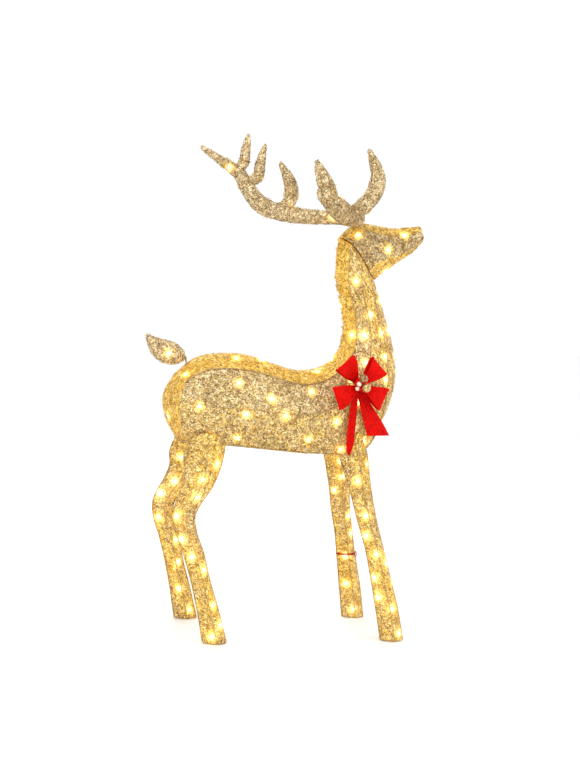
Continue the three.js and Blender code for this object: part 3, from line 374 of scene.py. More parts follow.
def leg_outline(pair, z, v):
    rear, front, middle, half = leg_section(pair, z)
    turn = 2 * math.pi * v
    c, s = np.cos(turn), np.sin(turn)
    power = np.where(s < 0, INNER_DIAMOND[pair], DIAMOND)
    half = np.where(s < 0, half * INNER_SHARE[pair], half)
    reach = (np.abs(c) ** power + np.abs(s) ** power) ** (-1 / power)
    x = (rear + front) / 2 + (front - rear) / 2 * c * reach
    y = middle + half * s * reach
    return np.stack([x, y, z], -1)


def leg_surface(pair, side):
    top = LEG_SECTIONS[pair][0, 0]
    turns = np.linspace(0, 1, 73)
    rim = leg_outline(pair, np.full(73, top), turns)
    rim_z = np.empty(73)
    for k, p in enumerate(rim):
        gap = (UNDERSIDE[:, 0] - p[0]) ** 2 + (UNDERSIDE[:, 1] - p[1]) ** 2
        near = UNDERSIDE[gap < gap.min() + 0.6]
        rim_z[k] = near[:, 2].min() - SEAM
    cap = 0.96

    def make(u, v):
        z = top * (1 - np.minimum(u / cap, 1))
        p = leg_outline(pair, z, v)
        lift = (np.interp(v, turns, rim_z) - top) * np.clip((z - top + RISE) / RISE, 0, 1) ** 1.5
        p[:, 2] += lift
        close = np.clip((u - cap) / (1 - cap), 0, 1)[:, None]
        rear, front, middle, _ = leg_section(pair, z)
        centre = np.stack([(rear + front) / 2, middle, z], -1)
        return mirrored(p + (centre - p) * close, side)

    def heart(u, p):
        z = top * (1 - np.minimum(np.asarray(u) / cap, 0.97)) + 0.3
        rear, front, middle, _ = leg_section(pair, z)
        return mirrored(np.stack([(rear + front) / 2, middle, np.minimum(z + 1, top)], -1), side)

    return Surface(make, closed=True, size=(130, 44), heart=heart, warm_and_glow=leg_warmth_and_glow)


# ---- antlers and tail
def radius_at(radii, t):
    root, middle, tip = radii
    taper = np.where(t < 0.5, root + (middle - root) * 2 * t, middle + (tip - middle) * (2 * t - 1) ** 1.5)
    return np.where(t > 0.97, taper * np.sqrt(np.clip(1 - ((t - 0.97) / 0.03) ** 2, 0.0004, 1)), taper)


class Branch:
    def __init__(self, points, radii):
        self.curve = Curve(points)
        self.radii = radii
        steps = np.linspace(0, 1, 200)
        line = self.curve.at(steps)
        run = np.linalg.norm(np.diff(line, axis=0), axis=1)
        self.length = run.sum()
        self.arc = np.concatenate([[0], np.cumsum(run)]) / self.length
        self.steps = steps

    def centre(self, t):
        return self.curve.at(np.interp(t, self.arc, self.steps))

    def axes(self, t):
        h = 0.01
        along = self.centre(np.clip(t + h, 0, 1)) - self.centre(np.clip(t - h, 0, 1))
        along /= np.linalg.norm(along, axis=-1, keepdims=True)
        ahead = np.array([1, 0, 0.15]) - along * (along @ np.array([1, 0, 0.15]))[..., None]
        ahead /= np.maximum(np.linalg.norm(ahead, axis=-1, keepdims=True), 1e-6)
        return along, ahead, np.cross(along, ahead)

    def surface(self):
        def make(u, v):
            _, ahead, sideways = self.axes(u)
            turn = 2 * math.pi * v[:, None]
            radius = radius_at(self.radii, u)[:, None]
            return self.centre(u) + radius * (ahead * np.cos(turn) + sideways * np.sin(turn))
        rows = int(self.length / 1.1)
        return Surface(make, closed=True, size=(rows, 20),
                       heart=lambda u, p: self.centre(np.clip(u, 0, 0.97)))


def antler_branches(side):
    sign = SIDES[side]
    made = []
    for root, points, radii in ANTLERS[side]:
        run = [mirrored(p, sign) for p in points]
        if root is not None:
            run = [made[0].centre(np.array([root]))[0], *run]
        made.append(Branch(run, radii))
    return made


def tail_make(u, v):
    rows = TAIL_SECTIONS
    ends = Curve(rows[:, [0, 1, 2]]).at(u)
    half = Curve([[x, h, 0] for x, _, _, h in rows]).at(u)[:, 1]
    turn = 2 * math.pi * v
    c, s = np.cos(turn), np.sin(turn)
    reach = (np.abs(c) ** 1.6 + np.abs(s) ** 1.6) ** (-1 / 1.6)
    close = np.where(u < 0.05, np.sin(u / 0.05 * math.pi / 2), 1)
    close = close * np.where(u > 0.94, np.cos((u - 0.94) / 0.06 * 1.5), 1)
    high, low = ends[:, 2], ends[:, 1]
    z = (high + low) / 2 + (high - low) / 2 * c * reach * close
    return np.stack([ends[:, 0], half * s * reach * close, z], -1)


def tail_heart(u, p):
    ends = Curve(TAIL_SECTIONS[:, [0, 1, 2]]).at(np.clip(u, 0.05, 0.92))
    return np.stack([ends[..., 0], ends[..., 0] * 0, (ends[..., 1] + ends[..., 2]) / 2], -1)


# ---- mesh helpers
def finish_mesh(name, points, faces, material, smooth=True):
    """A mesh object from points in millimetres about the middle plane, and faces of equal length."""
    mesh = bpy.data.meshes.new(name)
    faces = np.asarray(faces, np.int32)
    width = faces.shape[1]
    mesh.vertices.add(len(points))
    mesh.vertices.foreach_set("co", place(points).astype(np.float32).ravel())
    mesh.loops.add(faces.size)
    mesh.loops.foreach_set("vertex_index", faces.ravel())
    mesh.polygons.add(len(faces))
    mesh.polygons.foreach_set("loop_start", np.arange(0, faces.size, width, dtype=np.int32))
    mesh.update(calc_edges=True)
    mesh.validate()
    mesh.polygons.foreach_set("use_smooth", np.full(len(mesh.polygons), smooth))
    mesh.materials.append(material)
    made = bpy.data.objects.new(name, mesh)
    bpy.context.scene.collection.objects.link(made)
    return made


def thicken(piece, thickness, offset):
    thick = piece.modifiers.new("thickness", "SOLIDIFY")
    thick.thickness = thickness
    thick.offset = offset


def add_numbers(obj, name, values):
    attribute = obj.data.attributes.new(name, "FLOAT", "POINT")
    attribute.data.foreach_set("value", np.asarray(values, np.float32))


def grid_faces(rows, columns, closed=False):
    wide = columns if closed else columns - 1
    r, c = np.meshgrid(np.arange(rows - 1), np.arange(wide), indexing="ij")
    r, c = r.ravel(), c.ravel()
    nxt = (c + 1) % columns
    return np.stack([r * columns + c, r * columns + nxt, (r + 1) * columns + nxt, (r + 1) * columns + c], 1)


def facing_out(points, faces, normals):
    """The faces, turned so that they look the way the points' normals do."""
    a, b, c = (points[faces[:, k]] for k in (0, 1, 2))
    d = points[faces[:, -1]]
    face = np.cross(c - a, d - b)
    wrong = (face * normals[faces].mean(1)).sum(1) < 0
    turned = faces.copy()
    turned[wrong] = turned[wrong][:, ::-1]
    return turned


# ---- fairy lights
def glow_of(points, lamps, core=1.9, wide=6.5, share=0.14):
    """How brightly the lamps light each point: a tight halo round each lamp and a faint wide one."""
    total = np.zeros(len(points))
    for lamp in lamps:
        d2 = ((points - lamp) ** 2).sum(1)
        total += np.exp(-d2 / (2 * core ** 2)) + share * np.exp(-np.sqrt(d2) / wide)
    return total


def scattered(rng, surface, count, low=(0.03, 0.08), high=(0.97, 0.92)):
    """Places on a sheet that keep well apart: each is the best of a few tries."""
    tries = rng.random((count, 14, 2)) * (np.array(high) - low) + low
    kept, points = [], []
    for options in tries:
        p = surface.at(options[:, 0], options[:, 1])
        if points:
            gaps = np.linalg.norm(p[:, None] - np.array(points)[None], axis=2).min(1)
            best = int(gaps.argmax())
        else:
            best = 0
        kept.append(options[best])
        points.append(p[best])
    kept = np.array(kept)
    order = np.argsort(kept[:, 0])
    return kept[order]


def sphere_mesh(segments=10, rings=7):
    turns = np.linspace(0, 2 * math.pi, segments, endpoint=False)
    tilts = np.linspace(0, math.pi, rings)
    points = np.array([[math.sin(b) * math.cos(a), math.sin(b) * math.sin(a), math.cos(b)]
                       for b in tilts for a in turns])
    return points, grid_faces(rings, segments, closed=True)


LAMP_RADIUS = 0.85
SUNK = 0.25            # how far a lamp's middle is under the mesh
WIRE_NEAR = 0.8        # depth of the lights' wire where it enters a lamp
WIRE_DEEP = 2.4        # and half way between two lamps


def tube(paths, normals, width, height, sides=3):
    """One mesh of bent strips: paths (n, k, 3) with their normals, half width and half height."""
    count, steps, _ = paths.shape
    along = np.gradient(paths, axis=1)
    along /= np.maximum(np.linalg.norm(along, axis=2, keepdims=True), 1e-9)
    over = np.cross(along, normals)
    over /= np.maximum(np.linalg.norm(over, axis=2, keepdims=True), 1e-9)
    up = np.cross(over, along)
    turns = 2 * math.pi * (np.arange(sides) + 0.5) / sides
    width = np.broadcast_to(np.asarray(width, float).reshape(-1, 1, 1), (count, steps, 1)).copy()
    height = np.broadcast_to(np.asarray(height, float).reshape(-1, 1, 1), (count, steps, 1)).copy()
    rings = np.stack([paths + over * width * math.cos(t) + up * height * math.sin(t) for t in turns], 2)
    points = rings.reshape(-1, 3)
    strip = grid_faces(steps, sides, closed=True)
    faces = (strip[None] + (np.arange(count) * steps * sides)[:, None, None]).reshape(-1, 4)
    return points, faces


def line_tube(points, radius, sides=8):
    """A round wire along a line of points."""
    p = np.asarray(points, float)[None]
    along = np.gradient(p, axis=1)
    along /= np.maximum(np.linalg.norm(along, axis=2, keepdims=True), 1e-9)
    normal = np.array([0.3, 0.5, 0.81])
    normals = np.empty_like(p)
    for k in range(p.shape[1]):
        normal = normal - along[0, k] * (normal @ along[0, k])
        normal /= np.linalg.norm(normal)
        normals[0, k] = normal
    made, faces = tube(p, normals, radius, radius, sides)
    ends = np.array([p[0, 0], p[0, -1]])
    base = len(made)
    made = np.vstack([made, ends])
    ring = np.arange(sides)
    last = base - sides
    caps = [[base, b, a, a] for a, b in zip(ring, np.roll(ring, -1))]
    caps += [[base + 1, last + a, last + b, last + b] for a, b in zip(ring, np.roll(ring, -1))]
    return made, faces, np.array(caps)[:, :3]


class Parts:
    """Collects points and faces of several bits that become one mesh."""

    def __init__(self):
        self.points, self.faces, self.count = [], [], 0

    def add(self, points, *faces):
        for f in faces:
            f = np.asarray(f, int) + self.count
            if f.shape[1] == 3:
                f = np.hstack([f, f[:, 2:]])
            self.faces.append(f)
        self.points.append(points)
        self.count += len(points)
        return self

    def made(self, name, material, smooth=True):
        mesh = bpy.data.meshes.new(name)
        faces = [tuple(dict.fromkeys(f)) for f in np.vstack(self.faces).tolist()]
        mesh.from_pydata(place(np.vstack(self.points)).tolist(), [], faces)
        mesh.update()
        mesh.polygons.foreach_set("use_smooth", np.full(len(mesh.polygons), smooth))
        mesh.materials.append(material)
        made = bpy.data.objects.new(name, mesh)
        bpy.context.scene.collection.objects.link(made)
        return made


# ---- materials
def new_material(name):
    material = bpy.data.materials.new(name)
    material.use_nodes = True
    nodes = material.node_tree.nodes
    nodes.clear()
    out = nodes.new("ShaderNodeOutputMaterial")
    shader = nodes.new("ShaderNodeBsdfPrincipled")
    material.node_tree.links.new(shader.outputs[0], out.inputs[0])
    return material, material.node_tree, shader


def link(tree, a, b):
    tree.links.new(a, b)


def node(tree, kind, **settings):
    made = tree.nodes.new(kind)
    for key, value in settings.items():
        setattr(made, key, value)
    return made


def maths(tree, operation, a, b=None, c=None, clamp=False):
    made = node(tree, "ShaderNodeMath", operation=operation, use_clamp=clamp)
    for k, value in enumerate((a, b, c)):
        if value is None:
            continue
        if isinstance(value, (int, float)):
            made.inputs[k].default_value = value
        else:
            link(tree, value, made.inputs[k])
    return made.outputs[0]


def ramp(tree, value, stops, interpolation="LINEAR"):
    made = node(tree, "ShaderNodeValToRGB")
    made.color_ramp.interpolation = interpolation
    band = made.color_ramp.elements
    while len(band) > 1:
        band.remove(band[0])
    band[0].position, band[0].color = stops[0][0], (*stops[0][1], 1)
    for at, colour in stops[1:]:
        made_stop = band.new(at)
        made_stop.color = (*colour, 1)
    link(tree, value, made.inputs[0])
    return made.outputs[0]


def mixed(tree, share, a, b, blend="MIX"):
    made = node(tree, "ShaderNodeMix", data_type="RGBA", blend_type=blend)
    for socket, value in ((made.inputs[0], share), (made.inputs[6], a), (made.inputs[7], b)):
        if isinstance(value, (int, float)):
            socket.default_value = value
        elif isinstance(value, tuple):
            socket.default_value = (*value, 1)
        else:
            link(tree, value, socket)
    return made.outputs[2]


def object_space(tree):
    return node(tree, "ShaderNodeTexCoord").outputs["Object"]


def texture(tree, kind, scale, output, **settings):
    made = node(tree, kind, **settings)
    link(tree, object_space(tree), made.inputs["Vector"])
    made.inputs["Scale"].default_value = scale
    return made.outputs[output]


def bumped(tree, shader, height, strength, distance):
    bump = node(tree, "ShaderNodeBump")
    bump.inputs["Strength"].default_value = strength
    bump.inputs["Distance"].default_value = distance
    link(tree, height, bump.inputs["Height"])
    link(tree, bump.outputs[0], shader.inputs["Normal"])


# The lamps' colour through the gauze, from far to near.
HALO = [(0.0, (1.0, 0.44, 0.04)), (0.35, (1.0, 0.6, 0.12)), (0.75, (1.0, 0.82, 0.4)),
        (1.0, (1.0, 0.95, 0.76))]

# Four tints of glitter, from dark to pale.
SILVER_GOLD = [(0.2, 0.115, 0.042), (0.49, 0.32, 0.12), (0.74, 0.57, 0.27), (0.98, 0.88, 0.56)]
WARM_GOLD = [(0.32, 0.16, 0.02), (0.68, 0.42, 0.05), (0.95, 0.66, 0.1), (1.0, 0.86, 0.32)]
GREY_GOLD = [(0.2, 0.125, 0.055), (0.5, 0.34, 0.15), (0.76, 0.58, 0.3), (0.98, 0.86, 0.55)]
HEAD_GOLD = [(0.15, 0.085, 0.035), (0.37, 0.24, 0.1), (0.56, 0.43, 0.23), (0.8, 0.7, 0.48)]
TINT_SHARES = [0.3, 0.3, 0.25, 0.15]
# Each kind of gauze: its cool and warm tints, and how much painted glow it has all over when cool and when
# warm.
KINDS = {
    "side": (SILVER_GOLD, WARM_GOLD, 0.05, 0.16),
    "antler": (GREY_GOLD, WARM_GOLD, 0.03, 0.14),
    "head": (HEAD_GOLD, WARM_GOLD, 0.05, 0.12),
}


def gauze_material(kind):
    """Glitter gauze: cells of dark, gold and pale thread, with the lamps' light from inside painted on as a
    glow.
    """
    cool, warm_and_glow, cool_glow, warm_glow = KINDS[kind]
    material, tree, shader = new_material("gauze_" + kind)
    cell = texture(tree, "ShaderNodeTexVoronoi", 1300, "Color")
    speck = node(tree, "ShaderNodeSeparateColor")
    link(tree, cell, speck.inputs[0])
    patches = texture(tree, "ShaderNodeTexNoise", 85, "Fac")
    value = maths(tree, "ADD", speck.outputs[0], maths(tree, "MULTIPLY_ADD", patches, 0.5, -0.25))
    warmth_and_glow = node(tree, "ShaderNodeAttribute", attribute_name="warm_and_glow").outputs["Fac"]
    stops = (0.1, 0.36, 0.64, 0.94)
    tones = [ramp(tree, value, list(zip(stops, tints))) for tints in (cool, warm_and_glow)]
    tone = mixed(tree, warmth_and_glow, *tones)
    link(tree, tone, shader.inputs["Base Color"])
    shader.inputs["Roughness"].default_value = 0.42
    shader.inputs["Metallic"].default_value = 0.3
    # Painted glow: the gauze emits where the lamps would light it from inside, in halos round each lamp,
    # speckled cell by cell.
    glow = node(tree, "ShaderNodeAttribute", attribute_name="glow").outputs["Fac"]
    colour = ramp(tree, maths(tree, "MULTIPLY", glow, 0.8), HALO)
    link(tree, mixed(tree, 0.45, colour, tone, "MULTIPLY"), shader.inputs["Emission Color"])
    speckled_glow = maths(tree, "MULTIPLY_ADD", speck.outputs[1], 0.9, 0.45)
    # Painted glow all over the gauze, stronger where it is warm.
    base = maths(tree, "MULTIPLY_ADD", warmth_and_glow, warm_glow - cool_glow, cool_glow)
    lit = maths(tree, "MULTIPLY_ADD", maths(tree, "POWER", glow, 1.35), 1.6, base)
    link(tree, maths(tree, "MULTIPLY", lit, speckled_glow), shader.inputs["Emission Strength"])
    bumped(tree, shader, speck.outputs[2], 0.6, 0.0004)
    return material


def thread_material(name, tint, light=0.0):
    """Metallised thread of one tint; light sets its painted glow, and the lit ones hang near a lamp."""
    material, _, shader = new_material(name)
    shader.inputs["Base Color"].default_value = (*tint, 1)
    shader.inputs["Metallic"].default_value = 0.5
    shader.inputs["Roughness"].default_value = 0.32
    shader.inputs["Emission Color"].default_value = (*tint, 1)
    shader.inputs["Emission Strength"].default_value = light
    return material


def cloudy_material(name, scale, stops, roughness, metallic=0.0, coat=0.0, grain=0.0):
    """A material whose tone and roughness, from its least up by its spread, follow one noise."""
    material, tree, shader = new_material(name)
    cloud = texture(tree, "ShaderNodeTexNoise", scale, "Fac")
    link(tree, ramp(tree, cloud, stops), shader.inputs["Base Color"])
    least, spread = roughness
    link(tree, maths(tree, "MULTIPLY_ADD", cloud, spread, least), shader.inputs["Roughness"])
    shader.inputs["Metallic"].default_value = metallic
    shader.inputs["Coat Weight"].default_value = coat
    if grain:
        bumped(tree, shader, cloud, grain, 0.0002)
    return material


def bead_material(name, deep, bright, metallic, roughness):
    return cloudy_material(name, 700, [(0.35, deep), (0.65, bright)], (roughness, 0.2), metallic, coat=0.4)


def plastic_material(name, deep, bright, roughness):
    return cloudy_material(name, 1600, [(0.3, deep), (0.7, bright)], (roughness, 0.2), grain=0.25)


def lamp_material():
    material, tree, shader = new_material("lit_drop")
    shader.inputs["Base Color"].default_value = (1.0, 0.86, 0.55, 1)
    shader.inputs["Roughness"].default_value = 0.12
    spread = texture(tree, "ShaderNodeTexNoise", 300, "Fac")
    link(tree, ramp(tree, spread, [(0.3, (1.0, 0.82, 0.46)), (0.7, (1.0, 0.93, 0.74))]),
         shader.inputs["Emission Color"])
    shader.inputs["Emission Strength"].default_value = 6.0
    return material


def ribbon_material(name, deep, bright):
    """Red woven ribbon with a fine rib and darker patches of painted fold shade."""
    material, tree, shader = new_material(name)
    weave = texture(tree, "ShaderNodeTexVoronoi", 2600, "Color")
    grain = node(tree, "ShaderNodeSeparateColor")
    link(tree, weave, grain.inputs[0])
    # Painted shade: a noise darkens the ribbon in patches as if in its folds.
    fold_shade = texture(tree, "ShaderNodeTexNoise", 140, "Fac")
    value = maths(tree, "MULTIPLY_ADD", grain.outputs[0], 0.55, maths(tree, "MULTIPLY", fold_shade, 0.5))
    link(tree, ramp(tree, value, [(0.2, deep), (0.75, bright)]), shader.inputs["Base Color"])
    link(tree, maths(tree, "MULTIPLY_ADD", grain.outputs[1], 0.3, 0.35), shader.inputs["Roughness"])
    shader.inputs["Specular IOR Level"].default_value = 0.06
    bumped(tree, shader, grain.outputs[2], 0.5, 0.00015)
    return material


GAUZES = {kind: gauze_material(kind) for kind in KINDS}
# Threads away from the lamps: four cool tints, then four warm ones with a faint painted glow. Near the
# lamps: rising painted glow.
THREADS = {
    kind: [thread_material(f"thread_{kind}_{k}", tint) for k, tint in enumerate(cool)]
    + [thread_material(f"thread_{kind}_{k + 4}", tint, 0.12) for k, tint in enumerate(warm_and_glow)]
    for kind, (cool, warm_and_glow, _, _) in KINDS.items()
}
GLOWS = [(0.25, (0.9, 0.6, 0.14), 0.35), (0.5, (1.0, 0.68, 0.2), 0.9), (0.78, (1.0, 0.84, 0.45), 1.7)]
LIT = [thread_material(f"thread_lit_{k}", tint, light) for k, (_, tint, light) in enumerate(GLOWS)]
WIRE = cloudy_material(
    "gold_wire", 900, [(0.3, (0.33, 0.19, 0.06)), (0.55, (0.62, 0.42, 0.16)), (0.75, (0.8, 0.6, 0.3))],
    (0.22, 0.3), metallic=0.85)
LAMP = lamp_material()

# ---- gauze pieces
THREAD_WIDTH = 0.13    # half width of a glitter thread
THREAD_HEIGHT = 0.06
STEP = 0.8             # length of one straight bit of thread
STEPS = 5
MOST_THREADS = 7800    # on one sheet


def film(name, surfaces, lamps, kind):
    """The gauze's ground: a fine closed skin over one or more sheets."""
    parts, faces, warmth_and_glow, base = [], [], [], 0
    for surface in surfaces:
        rows, columns = surface.rows, surface.columns
        u, v = np.meshgrid(np.linspace(0, 1, rows),
                           np.linspace(0, 1, columns, endpoint=not surface.closed), indexing="ij")
        p, _, _, n = surface.frame(u.ravel(), v.ravel())
        faces.append(facing_out(p, grid_faces(rows, columns, surface.closed), n) + base)
        parts.append(p)
        warmth_and_glow.append(surface.warm_and_glow(u.ravel(), v.ravel()))
        base += len(p)
    points = np.vstack(parts)
    made = finish_mesh(name, points, np.vstack(faces), GAUZES[kind])
    add_numbers(made, "glow", np.minimum(glow_of(points, lamps), 1.6))
    add_numbers(made, "warm_and_glow", np.concatenate(warmth_and_glow))
    thicken(made, 0.00025, -1)
    return made


def wander(surface, count, rng, lift, fuzz):
    """Threads that wander over a sheet: their points, the way out, and how warm the sheet is there, which
    also gives warm threads their faint painted glow.
    """
    u, v = rng.random(count * 3), rng.random(count * 3)
    _, along, over, _ = surface.frame(u, v)
    size = np.linalg.norm(np.cross(along, over), axis=1)
    kept = np.argsort(rng.random(count * 3) / np.maximum(size, 1e-6))[:count]
    u, v = u[kept], v[kept]
    warm_and_glow = surface.warm_and_glow(u, v)
    heading = rng.random(count) * 2 * math.pi
    line, up = [], []
    for _ in range(STEPS):
        p, along, over, n = surface.frame(u, v)
        line.append(p + n * (lift + fuzz * rng.random(count) ** 3)[:, None])
        up.append(n)
        u = u + STEP * np.cos(heading) / np.maximum(np.linalg.norm(along, axis=1), 4)
        v = v + STEP * np.sin(heading) / np.maximum(np.linalg.norm(over, axis=1), 4)
        # A thread that reaches the sheet's edge turns back into it.
        heading = np.where((u < 0) | (u > 1), math.pi - heading, heading)
        u = np.abs((u + 1) % 2 - 1)
        if not surface.closed:
            heading = np.where((v < 0) | (v > 1), -heading, heading)
            v = np.abs((v + 1) % 2 - 1)
        heading = heading + rng.normal(0, 0.9, count)
    return np.stack(line, 1), np.stack(up, 1), warm_and_glow


def tufts(surface, spots, rng, count=60, reach=1.4):
    """Ends of glitter thread that stand out of a sheet round the given places."""
    lines, ups = [], []
    for spot, spread in spots:
        u = np.clip(rng.normal(spot, spread, count), 0.01, 0.99)
        p, along, over, n = surface.frame(u, rng.random(count))
        along = along / np.linalg.norm(along, axis=1, keepdims=True)
        over = over / np.linalg.norm(over, axis=1, keepdims=True)
        lean = along * rng.normal(0, 0.5, (count, 1)) + over * rng.normal(0, 0.5, (count, 1))
        curl = along * rng.normal(0, 0.6, (count, 1)) + over * rng.normal(0, 0.6, (count, 1))
        long = rng.uniform(0.4, 1, (count, 1)) * reach
        steps = np.linspace(0, 1, STEPS)
        lines.append(np.stack([p + (n + lean) * long * t + curl * long * t * t for t in steps], 1))
        ups.append(np.repeat(over[:, None], STEPS, 1))
    return np.vstack(lines), np.vstack(ups)


def net(name, surfaces, lamps, kind, rng, cover, spots=(), lift=0.12, fuzz=0.4):
    """Glitter threads over the sheets, each a flat strip of one tint, with tufts where wraps end."""
    paths, normals, warmth_and_glow = [], [], []
    for k, surface in enumerate(surfaces):
        u, v = np.meshgrid(np.linspace(0.01, 0.99, 40), np.linspace(0.01, 0.99, 24), indexing="ij")
        _, along, over, _ = surface.frame(u.ravel(), v.ravel())
        area = np.linalg.norm(np.cross(along, over), axis=1).mean()
        count = min(int(area * cover / (2 * THREAD_WIDTH * STEP * STEPS)), MOST_THREADS)
        line, up, warm_and_glow = wander(surface, count, rng, lift, fuzz)
        paths.append(line)
        normals.append(up)
        warmth_and_glow.append(warm_and_glow)
        here = [spot[1:] for spot in spots if spot[0] == k]
        if here:
            line, up = tufts(surface, here, rng)
            paths.append(line)
            normals.append(up)
            warmth_and_glow.append(np.full(len(line), 0.8))
    paths, normals, warmth_and_glow = np.vstack(paths), np.vstack(normals), np.concatenate(warmth_and_glow)
    count = len(paths)
    points, faces = tube(paths, normals, THREAD_WIDTH * rng.uniform(0.7, 1.3, count), THREAD_HEIGHT)
    tint = rng.choice(4, count, p=TINT_SHARES) + 4 * (rng.random(count) < warmth_and_glow)
    glow = glow_of(paths[:, STEPS // 2], lamps)
    for k, (least, _, _) in enumerate(GLOWS):
        tint = np.where((glow > least) & (rng.random(count) < 0.6), 8 + k, tint)
    made = finish_mesh(name, points, faces, THREADS[kind][0], smooth=False)
    for material in THREADS[kind][1:] + LIT:
        made.data.materials.append(material)
    per_thread = (STEPS - 1) * 3
    made.data.polygons.foreach_set("material_index", np.repeat(tint, per_thread).astype(np.int32))
    return made


def strung(surface, places):
    """Lamps just under a sheet at the given places, and the wire below the sheet from lamp to lamp."""
    p, _, _, n = surface.frame(places[:, 0], places[:, 1])
    count = len(places)
    steps = np.linspace(0, count - 1, 6 * (count - 1) + 1)
    turns = np.unwrap(places[:, 1], period=1) if surface.closed else places[:, 1]
    u, v = (np.interp(steps, np.arange(count), row) for row in (places[:, 0], turns))
    q, _, _, out = surface.frame(u, v)
    depth = WIRE_NEAR + (WIRE_DEEP - WIRE_NEAR) * np.sin(math.pi * (steps % 1))
    return p - n * SUNK, q - out * depth[:, None]


def lamps_on(rng, surface, count, **limits):
    return strung(surface, scattered(rng, surface, count, **limits))


def belongs(piece, body, cad_node=None):
    """The body a piece rides on and the plain solid it replaces, if any."""
    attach(piece, body)
    if cad_node:
        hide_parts(cad_node)


def light_string(name, groups, cad_node, owner):
    """Lamps and the fine wire that joins them, inside the gauze."""
    parts = Parts()
    ball, ball_faces = sphere_mesh()
    for lamps, _ in groups:
        for lamp in lamps:
            parts.add(lamp + ball * LAMP_RADIUS, ball_faces)
    lit = parts.made(name + "_lamps", LAMP)
    belongs(lit, owner, cad_node)
    wires = Parts()
    for _, line in groups:
        if len(line) > 1:
            wires.add(*line_tube(Curve(line).at(np.linspace(0, 1, len(line) * 2)), 0.2, 5))
    if wires.count:
        belongs(wires.made(name + "_wire", WIRE), owner)


def dressed(name, surfaces, lamps, kind, owner, cad_node, seed, cover=0.75, spots=()):
    """Film and net of one panel, riding on its body."""
    ground = film("gauze_" + name, surfaces, lamps, kind)
    threads = net("threads_" + name, surfaces, lamps, kind, np.random.default_rng(seed), cover, spots)
    belongs(ground, owner, cad_node)
    belongs(threads, owner)


panels = {
    "side_left": side_panel(1),
    "side_right": side_panel(-1),
    "back": Surface(back_make, size=(300, 30), heart=back_heart, warm_and_glow=all_warm_and_glowing),
    "belly": Surface(belly_make, size=(200, 30), heart=body.heart, warm_and_glow=belly_warmth_and_glow),
    "head": Surface(head_make, closed=True, size=(60, 60), heart=head_heart, warm_and_glow=head_warmth_and_glow),
}
rng = np.random.default_rng(SEED)
body_lamps = {
    "side_left": lamps_on(rng, panels["side_left"], 22),
    "side_right": lamps_on(rng, panels["side_right"], 22),
    "back": lamps_on(rng, panels["back"], 11, low=(0.04, 0.15), high=(0.98, 0.85)),
    "belly": lamps_on(rng, panels["belly"], 8, low=(0.4, 0.2), high=(0.95, 0.8)),
}
head_lamps = lamps_on(rng, panels["head"], 8, low=(0.06, 0), high=(0.8, 1))
all_body = np.vstack([lamps for lamps, _ in body_lamps.values()] + [head_lamps[0]])

NAPE_TUFTS = [(0, 0.66 + 0.04 * k, 0.006) for k in range(9)]
DRESSES = {
    "side_left": ("side", (62, 250), 11, "body_frame", ()),
    "side_right": ("side", (62, 250), 12, "body_frame", ()),
    "back": ("side", (40, 280), 13, "body_frame", NAPE_TUFTS),
    "belly": ("side", (34, 230), 14, "body_frame", ()),
    "head": ("head", (60, 56), 15, "head_frame", [(0, 0.03, 0.01)]),
}
for name, (kind, flat, seed, frame_node, spots) in DRESSES.items():
    dressed(name, [panels[name]], all_body, kind, "deer", "skin_" + name, seed,
            spots=spots)
light_string("body", list(body_lamps.values()), "lights_body", "deer")
light_string("head", [head_lamps], "lights_head", "deer")

SEAM_WIRE = 0.3        # radius of the wires that show at the seams
SEAM_LIFT = 0.35       # how far they stand out of the mesh


def seam(parts, points, radius=SEAM_WIRE):
    parts.add(*line_tube(points, radius, 6))


body_seams = Parts()
shares = np.linspace(0.004, 0.985, 220)
for side in SIDES.values():
    for k in (1, 2, 4):
        line = mirrored(body.edge(k, shares), side)
        out = line - body.heart(shares, line)
        seam(body_seams, line + out / np.linalg.norm(out, axis=1, keepdims=True) * SEAM_LIFT)
    for barrel, share in ((body, 0.992), (head, 0.99)):
        spread = np.linspace(1, 4, 40)
        edges = [barrel.edge(k, np.full(40, share), side) for k in range(6)]
        ring = across(np.stack(edges), spread / 5)
        seam(body_seams, ring, 0.2)
belongs(body_seams.made("seams_body", WIRE), "deer")

TOP_LEVEL = {"hind": 112.3, "front": 110.6}
HOCK_SHARE = {"hind": 0.34, "front": 0.36}
legs = [(pair, side) for pair in ("hind", "front") for side in SIDES]
leg_sheets = {}
for k, (pair, side) in enumerate(legs):
    surface = leg_surface(pair, SIDES[side])
    leg_sheets[pair, side] = surface
    outer = lamps_on(rng, surface, 10, low=(0.05, 0.06), high=(0.93, 0.44))
    inner = lamps_on(rng, surface, 8, low=(0.05, 0.56), high=(0.93, 0.94))
    name = f"leg_{pair}_{side}"
    dressed(name, [surface], np.vstack([outer[0], inner[0]]), "side", name, "skin_" + name,
            20 + k)
    light_string(name, [outer, inner], "lights_" + name, name)
    wires = Parts()
    run = np.linspace(0.02, 0.955, 90)
    for v in (0.0, 0.25, 0.5, 0.75):
        p, _, _, n = surface.frame(run, np.full(90, v))
        seam(wires, p + n * SEAM_LIFT * 0.7)
    turns = np.linspace(0, 1, 40)
    seam(wires, surface.at(np.full(40, HOCK_SHARE[pair]), turns))
    seam(wires, surface.at(np.full(40, 0.957), turns))
    # The wire under the body's edge crosses the leg level, where the leg's mesh runs up to meet the flank.
    u, v = np.meshgrid(np.linspace(0, 0.3, 60), np.linspace(0.02, 0.48, 30))
    levels = surface.at(u.ravel(), v.ravel())[:, 2].reshape(u.shape)
    hip = [np.interp(-TOP_LEVEL[pair], -row, us) for row, us in zip(levels, u)]
    p, _, _, n = surface.frame(np.array(hip), v[:, 0])
    seam(wires, p + n * SEAM_LIFT)
    belongs(wires.made("seams_" + name, WIRE), name)

